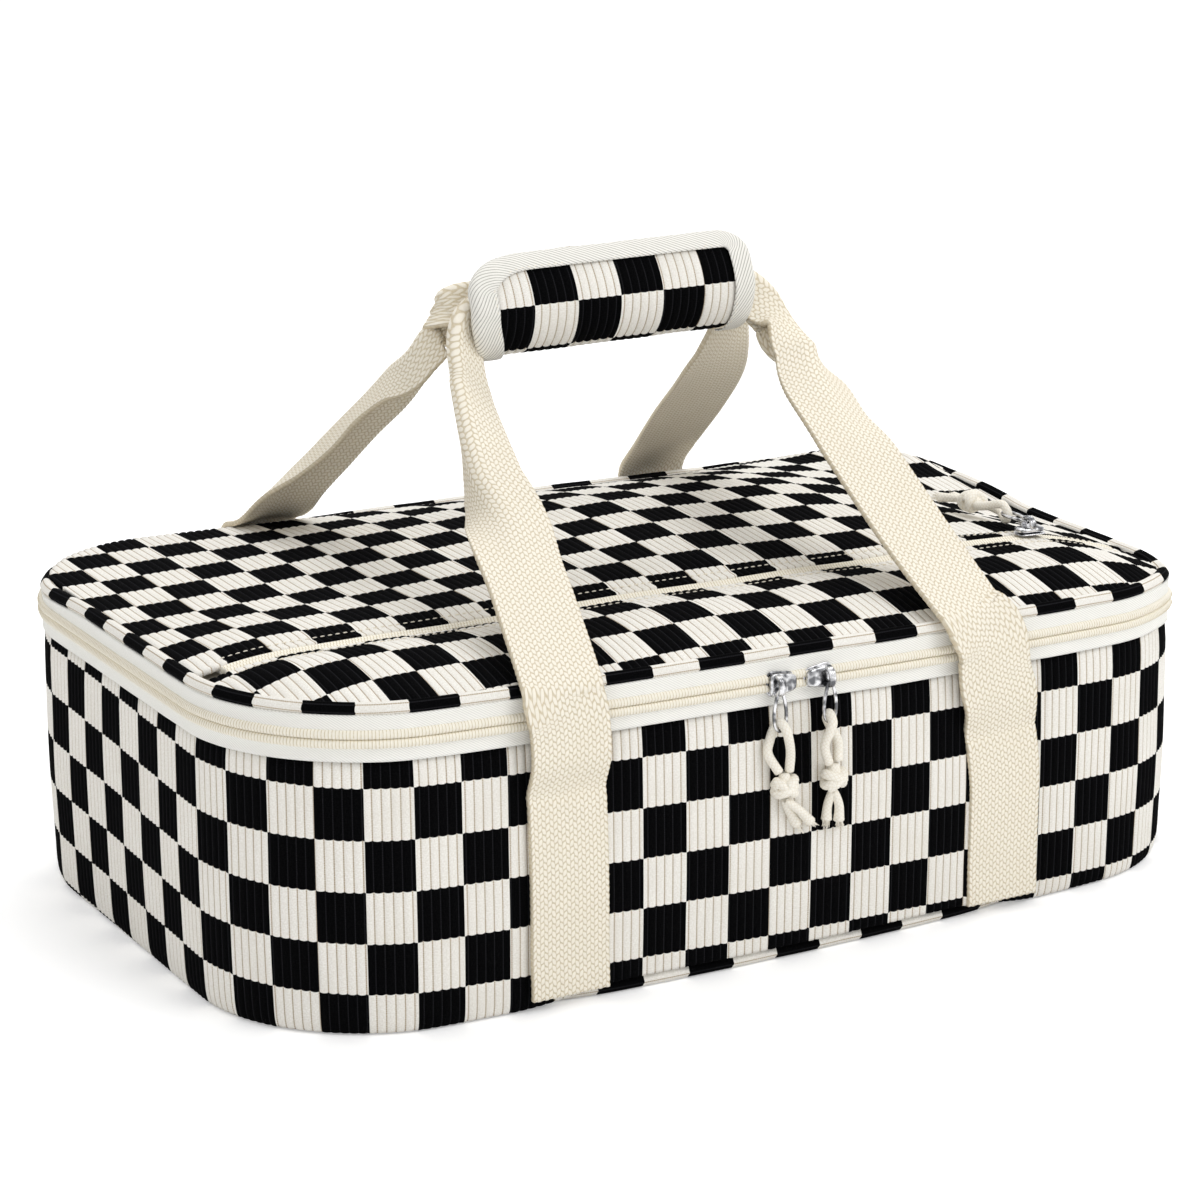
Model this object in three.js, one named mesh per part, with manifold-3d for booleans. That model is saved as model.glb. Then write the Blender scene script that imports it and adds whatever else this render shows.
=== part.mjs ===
// Soft insulated casserole carrier: zipped padded bag, lid with a zip pocket, two webbing
// handles and a padded grip wrap. Millimetres, +Z up, +X along the bag, front face at -Y.
import * as THREE from 'three';
import { mergeVertices } from 'three/addons/utils/BufferGeometryUtils.js';
import Module from 'manifold-3d';

const wasm = await Module();
wasm.setup();

// Bag outline, seen from above
const bagLength = 424;
const bagDepth = 272;
const cornerRadius = 60;
const arcSteps = 5;

// Clearances
const gap = 0.3;
const partingGap = 1.4;

// Layers of the wall and floor
const clothThickness = 2.4;
const foamThickness = 5;
const liningThickness = 0.8;
const boardThickness = 2;
const floorFoamThickness = 3.7;
const floorClothThickness = 1.4;

// Piping sewn round the floor and round the lid
const pipingSize = 5;
const pipingProud = 0.9;
const pipingChamfer = 1.5;
const pipingLift = 0.4;

// Main zip
const zipHeight = 111.5;
const coilWidth = 2.3;
const coilProud = 1.3;
const tapeWidth = 4.7;
const tapeThickness = 0.9;

// Lid
const lidRise = 10.5;
const lidRun = 40;
const lidSkirt = 3;
const lidSteps = 4;
const pocketSlitY = -61.5;
const pocketEndMargin = 14;
const pocketTapeWidth = 7;
const pocketTapeThickness = 0.7;

// Webbing handles
const strapWidth = 32;
const strapThickness = 2.2;
const foldedStrapWidth = strapWidth / 2;
const foldedStrapThickness = 5;
const strapX = 96;
const strapBottom = 6;
const strapStitchTop = 72;

// Each free strap above the lid: half spacing, distance out from its grip, and height
const strapSlope = 48;
const strapNarrows = { x: 79, out: 44, z: 197 };
const strapFolded = { x: 70, out: 13, z: 224 };
const strapEndHeight = 231;

// Grip wrap, an upright oval in section
const wrapY = -2;
const wrapHeight = 234;
const wrapHalfDepth = 15;
const wrapHalfHeight = 19.5;
const wrapHalfLength = 58.5;
const wrapBindingWidth = 9;
const wrapClothThickness = 2.6;
const fastenerThickness = 0.7;
const wrapPaddingThickness = 1.9;
const wrapLiningThickness = 2.6;
const gripSideGap = 1;

// Zip sliders and their pulls
const sliderX = 8;
const pocketSliderInset = 55;
const sliderHalfLength = 4.5;
const sliderHalfWidth = 5;
const sliderPlate = 1.6;
const bridgeHalfWidth = 1.1;
const bridgePost = 1.2;
const bridgeTop = 8;
const ringWidth = 8;
const ringLength = 17;
const ringWire = 1.4;
const ringTop = -0.9;
const ringOut = 5.4;
const cordDiameter = 3.6;
const knotRadii = [5.5, 4.6, 4.4];

// Levels worked out from the sizes above
const floorTop = floorClothThickness + gap + floorFoamThickness;
const wallBottom = pipingLift + pipingSize + gap;
const pipingInset = pipingSize - pipingProud + gap;
const coilLow = zipHeight - partingGap / 2 - coilWidth;
const coilHigh = zipHeight + partingGap / 2 + coilWidth;
const wallTop = coilLow - gap - tapeWidth - gap;
const upperTapeTop = coilHigh + gap + tapeWidth;
const rimTop = zipHeight - partingGap / 2;
const foamInset = clothThickness + gap;
const liningInset = foamInset + foamThickness + gap;
const floorInset = liningInset + liningThickness + gap;
const lidPipingBottom = upperTapeTop + gap;
const lidPanelBottom = lidPipingBottom + gap;
const lidTop = lidPanelBottom + lidRise;
const frontFace = -bagDepth / 2;
const backFace = bagDepth / 2;
const hingeHalfLength = bagLength / 2 - cornerRadius - gap;
const pocketHalfLength = bagLength / 2 - pocketEndMargin;
const pocketSliderX = bagLength / 2 - pocketSliderInset;

const finishes = {
  checkedCloth: { color: 0x8a8478, roughness: 0.95 },
  lining: { color: 0xb9bcc0, roughness: 0.5, metalness: 0.2 },
  foam: { color: 0xf2f2ee, roughness: 0.9 },
  board: { color: 0xd8d8d4, roughness: 0.7 },
  tape: { color: 0xf4f2ec, roughness: 0.85 },
  coil: { color: 0xece4cf, roughness: 0.55 },
  webbing: { color: 0xe6dcc4, roughness: 0.95 },
  fastener: { color: 0xf0ede4, roughness: 0.95 },
  cord: { color: 0xefe7d3, roughness: 0.95 },
  metal: { color: 0xc9c9cb, roughness: 0.2, metalness: 1 },
};

const carrier = new THREE.Group();

function addPiece(name, geometry, finish, parent = carrier) {
  const mesh = new THREE.Mesh(geometry, new THREE.MeshStandardMaterial(finishes[finish]));
  mesh.name = name;
  parent.add(mesh);
}

// Solids and booleans
function toSolid(geometry) {
  const bare = geometry.clone();
  bare.deleteAttribute('normal');
  bare.deleteAttribute('uv');
  const merged = mergeVertices(bare);
  const vertProperties = merged.attributes.position.array;
  const triVerts = merged.index.array;
  return new wasm.Manifold(new wasm.Mesh({ numProp: 3, vertProperties, triVerts }));
}

function toGeometry(solid) {
  const mesh = solid.getMesh();
  const geometry = new THREE.BufferGeometry();
  geometry.setAttribute('position', new THREE.BufferAttribute(mesh.vertProperties, 3));
  geometry.setIndex(new THREE.BufferAttribute(mesh.triVerts, 1));
  return geometry;
}

function box(low, high) {
  const size = high.map((value, axis) => value - low[axis]);
  const geometry = new THREE.BoxGeometry(...size);
  geometry.translate(...low.map((value, axis) => value + size[axis] / 2));
  return geometry;
}

// Outlines: a rounded rectangle set in from the bag's outer face
function traceOutline(path, inset) {
  const halfX = bagLength / 2 - inset;
  const halfY = bagDepth / 2 - inset;
  const centreX = bagLength / 2 - cornerRadius;
  const centreY = bagDepth / 2 - cornerRadius;
  const radius = cornerRadius - inset;
  path.moveTo(centreX, halfY);
  path.lineTo(-centreX, halfY);
  path.absarc(-centreX, centreY, radius, Math.PI / 2, Math.PI);
  path.lineTo(-halfX, -centreY);
  path.absarc(-centreX, -centreY, radius, Math.PI, 1.5 * Math.PI);
  path.lineTo(centreX, -halfY);
  path.absarc(centreX, -centreY, radius, 1.5 * Math.PI, 2 * Math.PI);
  path.lineTo(halfX, centreY);
  path.absarc(centreX, centreY, radius, 0, Math.PI / 2);
  return path;
}

function panelOutline(inset) {
  return traceOutline(new THREE.Shape(), inset);
}

function ringOutline(outerInset, innerInset) {
  const shape = panelOutline(outerInset);
  shape.holes.push(traceOutline(new THREE.Path(), innerInset));
  return shape;
}

// The zip runs from one back corner round the sides and front to the other
function zipOutline(outerInset, innerInset) {
  const centreX = bagLength / 2 - cornerRadius;
  const centreY = bagDepth / 2 - cornerRadius;
  const outer = cornerRadius - outerInset;
  const inner = cornerRadius - innerInset;
  const corners = [
    [-centreX, centreY, Math.PI / 2],
    [-centreX, -centreY, Math.PI],
    [centreX, -centreY, 1.5 * Math.PI],
    [centreX, centreY, 2 * Math.PI],
  ];
  const shape = new THREE.Shape();
  for (const [x, y, start] of corners) {
    shape.absarc(x, y, outer, start, start + Math.PI / 2);
  }
  for (const [x, y, start] of corners.reverse()) {
    shape.absarc(x, y, inner, start + Math.PI / 2, start, true);
  }
  return shape;
}

function layer(shape, bottom, top) {
  const geometry = new THREE.ExtrudeGeometry(shape, {
    depth: top - bottom,
    bevelEnabled: false,
    curveSegments: arcSteps,
  });
  geometry.translate(0, 0, bottom);
  return geometry;
}

function piping(bottom) {
  const outer = pipingChamfer - pipingProud;
  const inner = pipingSize - pipingProud - pipingChamfer;
  const geometry = new THREE.ExtrudeGeometry(ringOutline(outer, inner), {
    depth: pipingSize - 2 * pipingChamfer,
    bevelThickness: pipingChamfer,
    bevelSize: pipingChamfer,
    bevelSegments: 1,
    curveSegments: arcSteps,
  });
  geometry.translate(0, 0, bottom + pipingChamfer);
  return geometry;
}

// Floor and walls
function addBase() {
  addPiece('base_floor_cloth', layer(panelOutline(pipingInset), 0, floorClothThickness), 'checkedCloth');
  const floorFoam = layer(panelOutline(pipingInset), floorClothThickness + gap, floorTop);
  addPiece('base_floor_foam', floorFoam, 'foam');
  addPiece('base_piping', piping(pipingLift), 'checkedCloth');

  addPiece('base_wall_cloth', layer(ringOutline(0, clothThickness), wallBottom, wallTop), 'checkedCloth');
  const wallFoam = ringOutline(foamInset, foamInset + foamThickness);
  addPiece('base_wall_foam', layer(wallFoam, wallBottom, rimTop), 'foam');
  const wallLining = ringOutline(liningInset, liningInset + liningThickness);
  addPiece('base_wall_lining', layer(wallLining, wallBottom, rimTop), 'lining');

  const boardTop = wallBottom + boardThickness;
  addPiece('base_floor_board', layer(panelOutline(floorInset), wallBottom, boardTop), 'board');
  const floorLining = layer(panelOutline(floorInset), boardTop + gap, boardTop + gap + liningThickness);
  addPiece('base_floor_lining', floorLining, 'lining');
}

// Main zip and the strip of cloth that the lid folds on
function addMainZip() {
  const tape = zipOutline(0, tapeThickness);
  const coil = zipOutline(-coilProud, tapeThickness);
  addPiece('zip_lower_tape', layer(tape, wallTop + gap, coilLow - gap), 'tape');
  addPiece('zip_lower_coil', layer(coil, coilLow, rimTop), 'coil');
  addPiece('zip_upper_coil', layer(coil, zipHeight + partingGap / 2, coilHigh), 'coil');
  addPiece('zip_upper_tape', layer(tape, coilHigh + gap, upperTapeTop), 'tape');

  const inner = backFace - clothThickness;
  const hingeStrip = (low, high) => box([-hingeHalfLength, inner, low], [hingeHalfLength, backFace, high]);
  addPiece('hinge_strip_lower', hingeStrip(wallTop + gap, zipHeight - gap / 2), 'checkedCloth');
  addPiece('hinge_strip_upper', hingeStrip(zipHeight + gap / 2, upperTapeTop), 'checkedCloth');
}

// Padded lid: each layer is a dome set in by its depth below the outer face
function dome(depth, bottom) {
  const geometry = new THREE.ExtrudeGeometry(panelOutline(pipingInset + lidRun + depth), {
    depth: lidSkirt,
    bevelThickness: lidRise,
    bevelSize: lidRun,
    bevelSegments: lidSteps,
    curveSegments: arcSteps,
  });
  geometry.translate(0, 0, lidTop - depth - lidRise - lidSkirt);
  const reach = [bagLength, bagDepth];
  const waste = box([-reach[0], -reach[1], 0], [reach[0], reach[1], bottom]);
  return toSolid(geometry).subtract(toSolid(waste));
}

function lidShell(outerDepth, innerDepth) {
  return dome(outerDepth, lidPanelBottom).subtract(dome(innerDepth, lidPanelBottom - gap));
}

function strip(halfLength, fromY, toY) {
  return toSolid(box([-halfLength, fromY, 0], [halfLength, toY, 2 * lidTop]));
}

function addLid() {
  const slit = partingGap / 2 + coilWidth + gap;
  const outerShell = lidShell(0, clothThickness);
  const rearPanel = outerShell.intersect(strip(bagLength, pocketSlitY + slit, bagDepth));
  const frontPanel = outerShell.intersect(strip(bagLength, -bagDepth, pocketSlitY - slit));
  addPiece('lid_rear_panel', toGeometry(rearPanel), 'checkedCloth');
  addPiece('lid_front_panel', toGeometry(frontPanel), 'checkedCloth');
  addPiece('lid_piping', piping(lidPipingBottom), 'checkedCloth');

  const coilShell = lidShell(-coilProud, tapeThickness);
  const tapeDepth = clothThickness + gap;
  const tapeShell = lidShell(tapeDepth, tapeDepth + pocketTapeThickness);
  const near = partingGap / 2;
  const far = near + coilWidth;
  for (const [side, sign] of [['rear', 1], ['front', -1]]) {
    const edges = (from, to) => [from, to].map((value) => pocketSlitY + sign * value).sort((a, b) => a - b);
    const coil = coilShell.intersect(strip(pocketHalfLength, ...edges(near, far)));
    const tape = tapeShell.intersect(strip(pocketHalfLength, ...edges(far, far + pocketTapeWidth)));
    addPiece(`pocket_coil_${side}`, toGeometry(coil), 'coil');
    addPiece(`pocket_tape_${side}`, toGeometry(tape), 'tape');
  }

  const liningDepth = tapeDepth + pocketTapeThickness + 2 * gap;
  const pocketLining = lidShell(liningDepth, liningDepth + liningThickness);
  addPiece('lid_pocket_lining', toGeometry(pocketLining), 'lining');
  const underside = zipHeight + partingGap / 2;
  const foamBottom = underside + liningThickness + gap;
  addPiece('lid_foam', toGeometry(dome(liningDepth + liningThickness + gap, foamBottom)), 'foam');
  addPiece('lid_lining', layer(panelOutline(foamInset), underside, underside + liningThickness), 'lining');
}

// Webbing: a ribbon through stations, each with a centre and two half-size vectors
function ribbon(stations) {
  const corners = [[1, 1], [-1, 1], [-1, -1], [1, -1]];
  const along = stations[1].centre.clone().sub(stations[0].centre);
  if (stations[0].across.clone().cross(stations[0].through).dot(along) < 0) {
    corners.reverse();
  }
  const positions = [];
  for (const { centre, across, through } of stations) {
    for (const [a, t] of corners) {
      const corner = centre.clone().addScaledVector(across, a).addScaledVector(through, t);
      positions.push(corner.x, corner.y, corner.z);
    }
  }
  const index = [0, 2, 1, 0, 3, 2];
  for (let s = 0; s + 1 < stations.length; s++) {
    for (let side = 0; side < 4; side++) {
      const here = 4 * s + side;
      const next = 4 * s + ((side + 1) % 4);
      index.push(here, next, here + 4, next, next + 4, here + 4);
    }
  }
  const last = 4 * (stations.length - 1);
  index.push(last, last + 1, last + 2, last, last + 2, last + 3);
  const geometry = new THREE.BufferGeometry();
  geometry.setAttribute('position', new THREE.Float32BufferAttribute(positions, 3));
  geometry.setIndex(index);
  return geometry;
}

// One free strap, from the stitch line up past the lid edge and in to the grip
function freeStrap(sideX, sideY, gripY) {
  const half = strapThickness / 2;
  const wide = strapWidth / 2;
  const folded = foldedStrapWidth / 2;
  const foldedHalf = foldedStrapThickness / 2;
  const wall = backFace + gap + half;
  const proud = backFace + coilProud + gap + half;
  const slope = THREE.MathUtils.degToRad(strapSlope);
  const endOut = foldedHalf + gap + foldedHalf * Math.cos(slope);
  const endX = wrapHalfLength + gripSideGap + folded;
  const flat = (x, y, z, width, thickness, leanDegrees) => {
    const lean = THREE.MathUtils.degToRad(leanDegrees);
    return {
      centre: new THREE.Vector3(sideX * x, y, z),
      across: new THREE.Vector3(sideX * width, 0, 0),
      through: new THREE.Vector3(0, sideY * Math.cos(lean) * thickness, Math.sin(lean) * thickness),
    };
  };
  return ribbon([
    flat(strapX, sideY * wall, strapStitchTop + gap, wide, half, 0),
    flat(strapX, sideY * proud, wallTop, wide, half, 0),
    flat(strapX, sideY * (proud + 0.4), lidPipingBottom + 2, wide, half, 4),
    flat(strapX - 1, sideY * (proud - 1.5), lidPipingBottom + 8, wide, half, 28),
    flat(strapX - 3, sideY * (proud - 9), lidPipingBottom + 16, wide, half, strapSlope),
    flat(strapNarrows.x, gripY + sideY * strapNarrows.out, strapNarrows.z, wide, half, strapSlope),
    flat(strapFolded.x, gripY + sideY * strapFolded.out, strapFolded.z, folded, foldedHalf, strapSlope),
    flat(endX, gripY + sideY * endOut, strapEndHeight, folded, foldedHalf, strapSlope),
  ]);
}

function addHandles() {
  const faces = [['front', -1], ['rear', 1]];
  const sides = [['left', -1], ['right', 1]];
  const gripOffset = (foldedStrapThickness + gap) / 2;
  const gripEnd = wrapHalfLength + gripSideGap + foldedStrapWidth;
  const half = strapWidth / 2;
  for (const [face, sideY] of faces) {
    const gripY = wrapY + sideY * gripOffset;
    const innerY = sideY * (backFace + gap);
    const outerY = sideY * (backFace + gap + strapThickness);
    for (const [side, sideX] of sides) {
      const low = [sideX * strapX - half, Math.min(innerY, outerY), strapBottom];
      const high = [sideX * strapX + half, Math.max(innerY, outerY), strapStitchTop];
      addPiece(`${face}_${side}_sewn_strap`, box(low, high), 'webbing');
      addPiece(`${face}_${side}_free_strap`, freeStrap(sideX, sideY, gripY), 'webbing');
    }
    const low = [-gripEnd, gripY - foldedStrapThickness / 2, wrapHeight - foldedStrapWidth / 2];
    const high = [gripEnd, gripY + foldedStrapThickness / 2, wrapHeight + foldedStrapWidth / 2];
    addPiece(`${face}_grip_webbing`, box(low, high), 'webbing');
  }
}

// Grip wrap: oval shells, with the angle counted from the bottom round the front and over the top
function wrapShell(depth, thickness, fromDegrees, toDegrees, halfLength) {
  const shape = new THREE.Shape();
  const steps = Math.ceil((toDegrees - fromDegrees) / 15);
  const ovalPoint = (inset, turn) => {
    const angle = THREE.MathUtils.degToRad(fromDegrees + (toDegrees - fromDegrees) * turn);
    const y = wrapY - (wrapHalfDepth - inset) * Math.sin(angle);
    const z = wrapHeight - (wrapHalfHeight - inset) * Math.cos(angle);
    return [y, z];
  };
  shape.moveTo(...ovalPoint(depth, 0));
  for (let i = 1; i <= steps; i++) {
    shape.lineTo(...ovalPoint(depth, i / steps));
  }
  for (let i = steps; i >= 0; i--) {
    shape.lineTo(...ovalPoint(depth + thickness, i / steps));
  }
  const geometry = new THREE.ExtrudeGeometry(shape, { depth: 2 * halfLength, bevelEnabled: false });
  geometry.translate(0, 0, -halfLength);
  geometry.applyMatrix4(new THREE.Matrix4().makeBasis(
    new THREE.Vector3(0, 1, 0),
    new THREE.Vector3(0, 0, 1),
    new THREE.Vector3(1, 0, 0),
  ));
  return geometry;
}

function addWrap() {
  const seam = 5;
  const closed = 180;
  const overlap = 20;
  const bindingTurn = 28;
  const gapTurn = 1;
  const margin = 1;
  const panelLength = wrapHalfLength - wrapBindingWidth;
  const panelEnd = closed - bindingTurn;
  const thick = wrapClothThickness;
  const wholeFlap = toSolid(wrapShell(0, thick, seam, closed, wrapHalfLength));
  const openLength = panelLength + gap;
  const opening = wrapShell(-margin, thick + 2 * margin, seam - margin, panelEnd + gapTurn, openLength);
  addPiece('wrap_flap_panel', wrapShell(0, thick, seam, panelEnd, panelLength), 'checkedCloth');
  addPiece('wrap_flap_binding', toGeometry(wholeFlap.subtract(toSolid(opening))), 'tape');

  const hookDepth = wrapClothThickness + gap;
  const loopDepth = hookDepth + fastenerThickness + gap;
  const liningDepth = loopDepth + fastenerThickness + gap;
  const hookFrom = closed - overlap;
  const fastener = (depth) => wrapShell(depth, fastenerThickness, hookFrom, closed, panelLength);
  addPiece('wrap_hook_tape', fastener(hookDepth), 'fastener');
  addPiece('wrap_loop_tape', fastener(loopDepth), 'fastener');
  const end = 360 - seam;
  const lining = wrapShell(liningDepth, wrapLiningThickness, hookFrom, end, wrapHalfLength);
  addPiece('wrap_lining', lining, 'tape');
  const backFrom = closed + seam;
  addPiece('wrap_back_panel', wrapShell(0, thick, backFrom, end, wrapHalfLength), 'checkedCloth');
  const padding = wrapShell(hookDepth, wrapPaddingThickness - gap, backFrom, end, wrapHalfLength);
  addPiece('wrap_padding', padding, 'foam');
}

// Slider in its own frame: X along the zip, Y across it, Z out of the cloth
function sliderBody() {
  const plateLow = coilProud + gap;
  const plateHigh = plateLow + sliderPlate;
  const neck = partingGap / 2 - gap;
  const innerTop = -tapeThickness - gap;
  const innerLow = -foamInset + gap;
  const innerReach = partingGap / 2 + coilWidth - gap;
  const postY = sliderHalfWidth - bridgePost;
  const boxes = [
    box([-sliderHalfLength, -sliderHalfWidth, plateLow], [sliderHalfLength, sliderHalfWidth, plateHigh]),
    box([-bridgeHalfWidth, -neck, innerLow], [bridgeHalfWidth, neck, plateHigh]),
    box([-sliderHalfLength, -innerReach, innerLow], [sliderHalfLength, neck, innerTop]),
    box([-bridgeHalfWidth, -postY, plateLow], [bridgeHalfWidth, -postY + bridgePost, bridgeTop]),
    box([-bridgeHalfWidth, postY - bridgePost, plateLow], [bridgeHalfWidth, postY, bridgeTop]),
    box([-bridgeHalfWidth, -postY, bridgeTop - bridgePost], [bridgeHalfWidth, postY, bridgeTop]),
  ];
  return toGeometry(boxes.map(toSolid).reduce((sum, part) => sum.add(part)));
}

function ringOf(halfWidth, top, bottom, ShapeClass) {
  const path = new ShapeClass();
  path.moveTo(-halfWidth, top);
  path.lineTo(-halfWidth, bottom + halfWidth);
  path.absarc(0, bottom + halfWidth, halfWidth, Math.PI, 2 * Math.PI);
  path.lineTo(halfWidth, top);
  path.closePath();
  return path;
}

function pullRing() {
  const half = ringWidth / 2;
  const bottom = ringTop - ringLength;
  const shape = ringOf(half, ringTop, bottom, THREE.Shape);
  shape.holes.push(ringOf(half - ringWire, ringTop - ringWire, bottom + ringWire, THREE.Path));
  const options = { depth: ringWire, bevelEnabled: false, curveSegments: arcSteps };
  const geometry = new THREE.ExtrudeGeometry(shape, options);
  geometry.translate(0, 0, ringOut - ringWire / 2);
  return geometry;
}

function cordTube(points, steps) {
  const section = new THREE.Shape();
  const sides = 8;
  for (let i = 0; i < sides; i++) {
    const angle = (i / sides) * 2 * Math.PI;
    const at = [Math.cos(angle) * cordDiameter / 2, Math.sin(angle) * cordDiameter / 2];
    i === 0 ? section.moveTo(...at) : section.lineTo(...at);
  }
  const path = new THREE.CatmullRomCurve3(points.map((point) => new THREE.Vector3(...point)));
  return new THREE.ExtrudeGeometry(section, { steps, extrudePath: path, bevelEnabled: false });
}

// The pull cord is doubled through the ring, tied in one knot and left with two short tails
function addPull(name, parent, lean) {
  const bar = ringTop - ringLength + ringWire / 2;
  const knotY = bar - 21.5;
  const loopRoute = [
    [2.2 * lean, knotY + 5.1, 4.8],
    [3.4 * lean, bar - 9, 6.4],
    [2.0 * lean, bar - 3, 8.4],
    [0.8 * lean, bar + 0.6, 8.6],
    [0.2 * lean, bar + 3.3, 5.4],
    [-0.6 * lean, bar + 0.6, 2.3],
    [-2.6 * lean, bar - 4, 2.4],
    [-4.4 * lean, bar - 9, 3.2],
    [-2.2 * lean, knotY + 5.1, 4.6],
  ];
  const tailRoute = [
    [-3.0 * lean, knotY - 19, 2.4],
    [-2.4 * lean, knotY - 11, 3.2],
    [0, knotY - 6.9, 4.4],
    [2.6 * lean, knotY - 11, 4.4],
    [5.0 * lean, knotY - 18, 3.4],
  ];
  addPiece(`${name}_pull_ring`, pullRing(), 'metal', parent);
  addPiece(`${name}_pull_cord`, cordTube(loopRoute, 20), 'cord', parent);
  const knot = new THREE.SphereGeometry(1, 12, 8);
  knot.scale(...knotRadii);
  knot.translate(0, knotY, 4.9);
  addPiece(`${name}_pull_knot`, knot, 'cord', parent);
  addPiece(`${name}_pull_tails`, cordTube(tailRoute, 12), 'cord', parent);
}

function addSlider(name, position, rotation, lean) {
  const group = new THREE.Group();
  group.position.set(...position);
  group.rotation.set(...rotation);
  carrier.add(group);
  addPiece(`${name}_slider`, sliderBody(), 'metal', group);
  addPull(name, group, lean);
}

addBase();
addMainZip();
addLid();
addHandles();
addWrap();
addSlider('left', [-sliderX, frontFace, zipHeight], [Math.PI / 2, 0, 0], 1);
addSlider('right', [sliderX, frontFace, zipHeight], [Math.PI / 2, 0, 0], -1);
addSlider('pocket', [pocketSliderX, pocketSlitY, lidTop], [0, 0, Math.PI], 1);

export default carrier;
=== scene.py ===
import bisect
import math
import random

import bmesh
import bpy
from mathutils import Matrix, Quaternion, Vector, noise


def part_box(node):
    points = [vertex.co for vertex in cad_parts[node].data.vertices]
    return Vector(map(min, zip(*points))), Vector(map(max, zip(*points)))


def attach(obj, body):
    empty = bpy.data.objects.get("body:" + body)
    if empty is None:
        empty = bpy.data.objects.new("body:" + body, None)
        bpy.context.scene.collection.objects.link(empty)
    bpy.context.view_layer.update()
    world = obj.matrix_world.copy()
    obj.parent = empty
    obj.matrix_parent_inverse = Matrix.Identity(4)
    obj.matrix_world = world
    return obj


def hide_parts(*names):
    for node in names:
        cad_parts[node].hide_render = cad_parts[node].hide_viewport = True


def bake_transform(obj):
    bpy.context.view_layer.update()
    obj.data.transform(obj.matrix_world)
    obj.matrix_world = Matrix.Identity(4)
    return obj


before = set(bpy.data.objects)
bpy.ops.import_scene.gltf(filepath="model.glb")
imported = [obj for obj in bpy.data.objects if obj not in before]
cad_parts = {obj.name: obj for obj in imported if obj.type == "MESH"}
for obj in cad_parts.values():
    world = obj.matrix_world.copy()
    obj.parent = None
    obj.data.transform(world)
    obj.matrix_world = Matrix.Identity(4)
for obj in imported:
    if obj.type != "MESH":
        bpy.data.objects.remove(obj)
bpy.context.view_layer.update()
mm = 0.001
print("frame loaded")


# Small sums used all over

def clamp(value, low=0.0, high=1.0):
    return min(max(value, low), high)


def ease(value):
    value = clamp(value)
    return value * value * (3 - 2 * value)


def ramp(value, start, run):  # eases from 0 at the start to 1 at the end of the run
    return ease((value - start) / run)


def spread(low, high, count):
    return [low + (high - low) * i / count for i in range(count + 1)]


def fromMiddle(value, low, high):  # -1 at the low end, 1 at the high one
    return 2 * (value - low) / (high - low) - 1


def boxOf(node):
    low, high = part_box(node)
    return low / mm, high / mm


def ripple(x, y, z, size):
    return noise.noise(Vector((x, y, z)) / size)


# Camera, at the photograph's viewing angle

photoView = {
    "azimuth": -29.09,
    "elevation": 16.46,
    "roll": -0.42,
    "place": (-0.705, -1.253, 0.532),
    "lens": 112.0,
    "sensor": 36.0,
}


def makeCamera():
    turn = math.radians(photoView["azimuth"])
    rise = math.radians(photoView["elevation"])
    away = Vector((math.sin(turn) * math.cos(rise), -math.cos(turn) * math.cos(rise), math.sin(rise)))
    data = bpy.data.cameras.new("camera")
    data.lens = photoView["lens"]
    data.sensor_width = photoView["sensor"]
    camera = bpy.data.objects.new("camera", data)
    camera.rotation_mode = "QUATERNION"
    tilt = Quaternion((0, 0, 1), math.radians(photoView["roll"]))
    camera.rotation_quaternion = away.to_track_quat("Z", "Y") @ tilt
    camera.location = photoView["place"]
    bpy.context.collection.objects.link(camera)
    bpy.context.scene.camera = camera


makeCamera()
print("camera set")


# Finishes: Wire is a socket with maths, Finish is a material being wired

class Wire:
    def __init__(self, finish, socket):
        self.finish = finish
        self.socket = socket

    def maths(self, operation, *others):
        return self.finish.add("ShaderNodeMath", {"operation": operation}, [self, *others])

    def __add__(self, other):
        return self.maths("ADD", other)

    def __sub__(self, other):
        return self.maths("SUBTRACT", other)

    def __mul__(self, other):
        return self.maths("MULTIPLY", other)

    def __rsub__(self, other):
        return self.finish.add("ShaderNodeMath", {"operation": "SUBTRACT"}, [other, self])

    __radd__ = __add__

    def cycle(self):
        return self.maths("FRACT")

    def whole(self):
        return self.maths("FLOOR")

    def ridge(self):  # 0 in the middle of each cycle, 1 at its ends
        return (self.cycle() - 0.5).maths("ABSOLUTE") * 2

    def between(self, low, high):  # 0 below low, 1 above high
        return self.finish.add(
            "ShaderNodeMapRange", {"interpolation_type": "SMOOTHSTEP"}, [self, low, high, 0.0, 1.0]
        )


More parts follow.
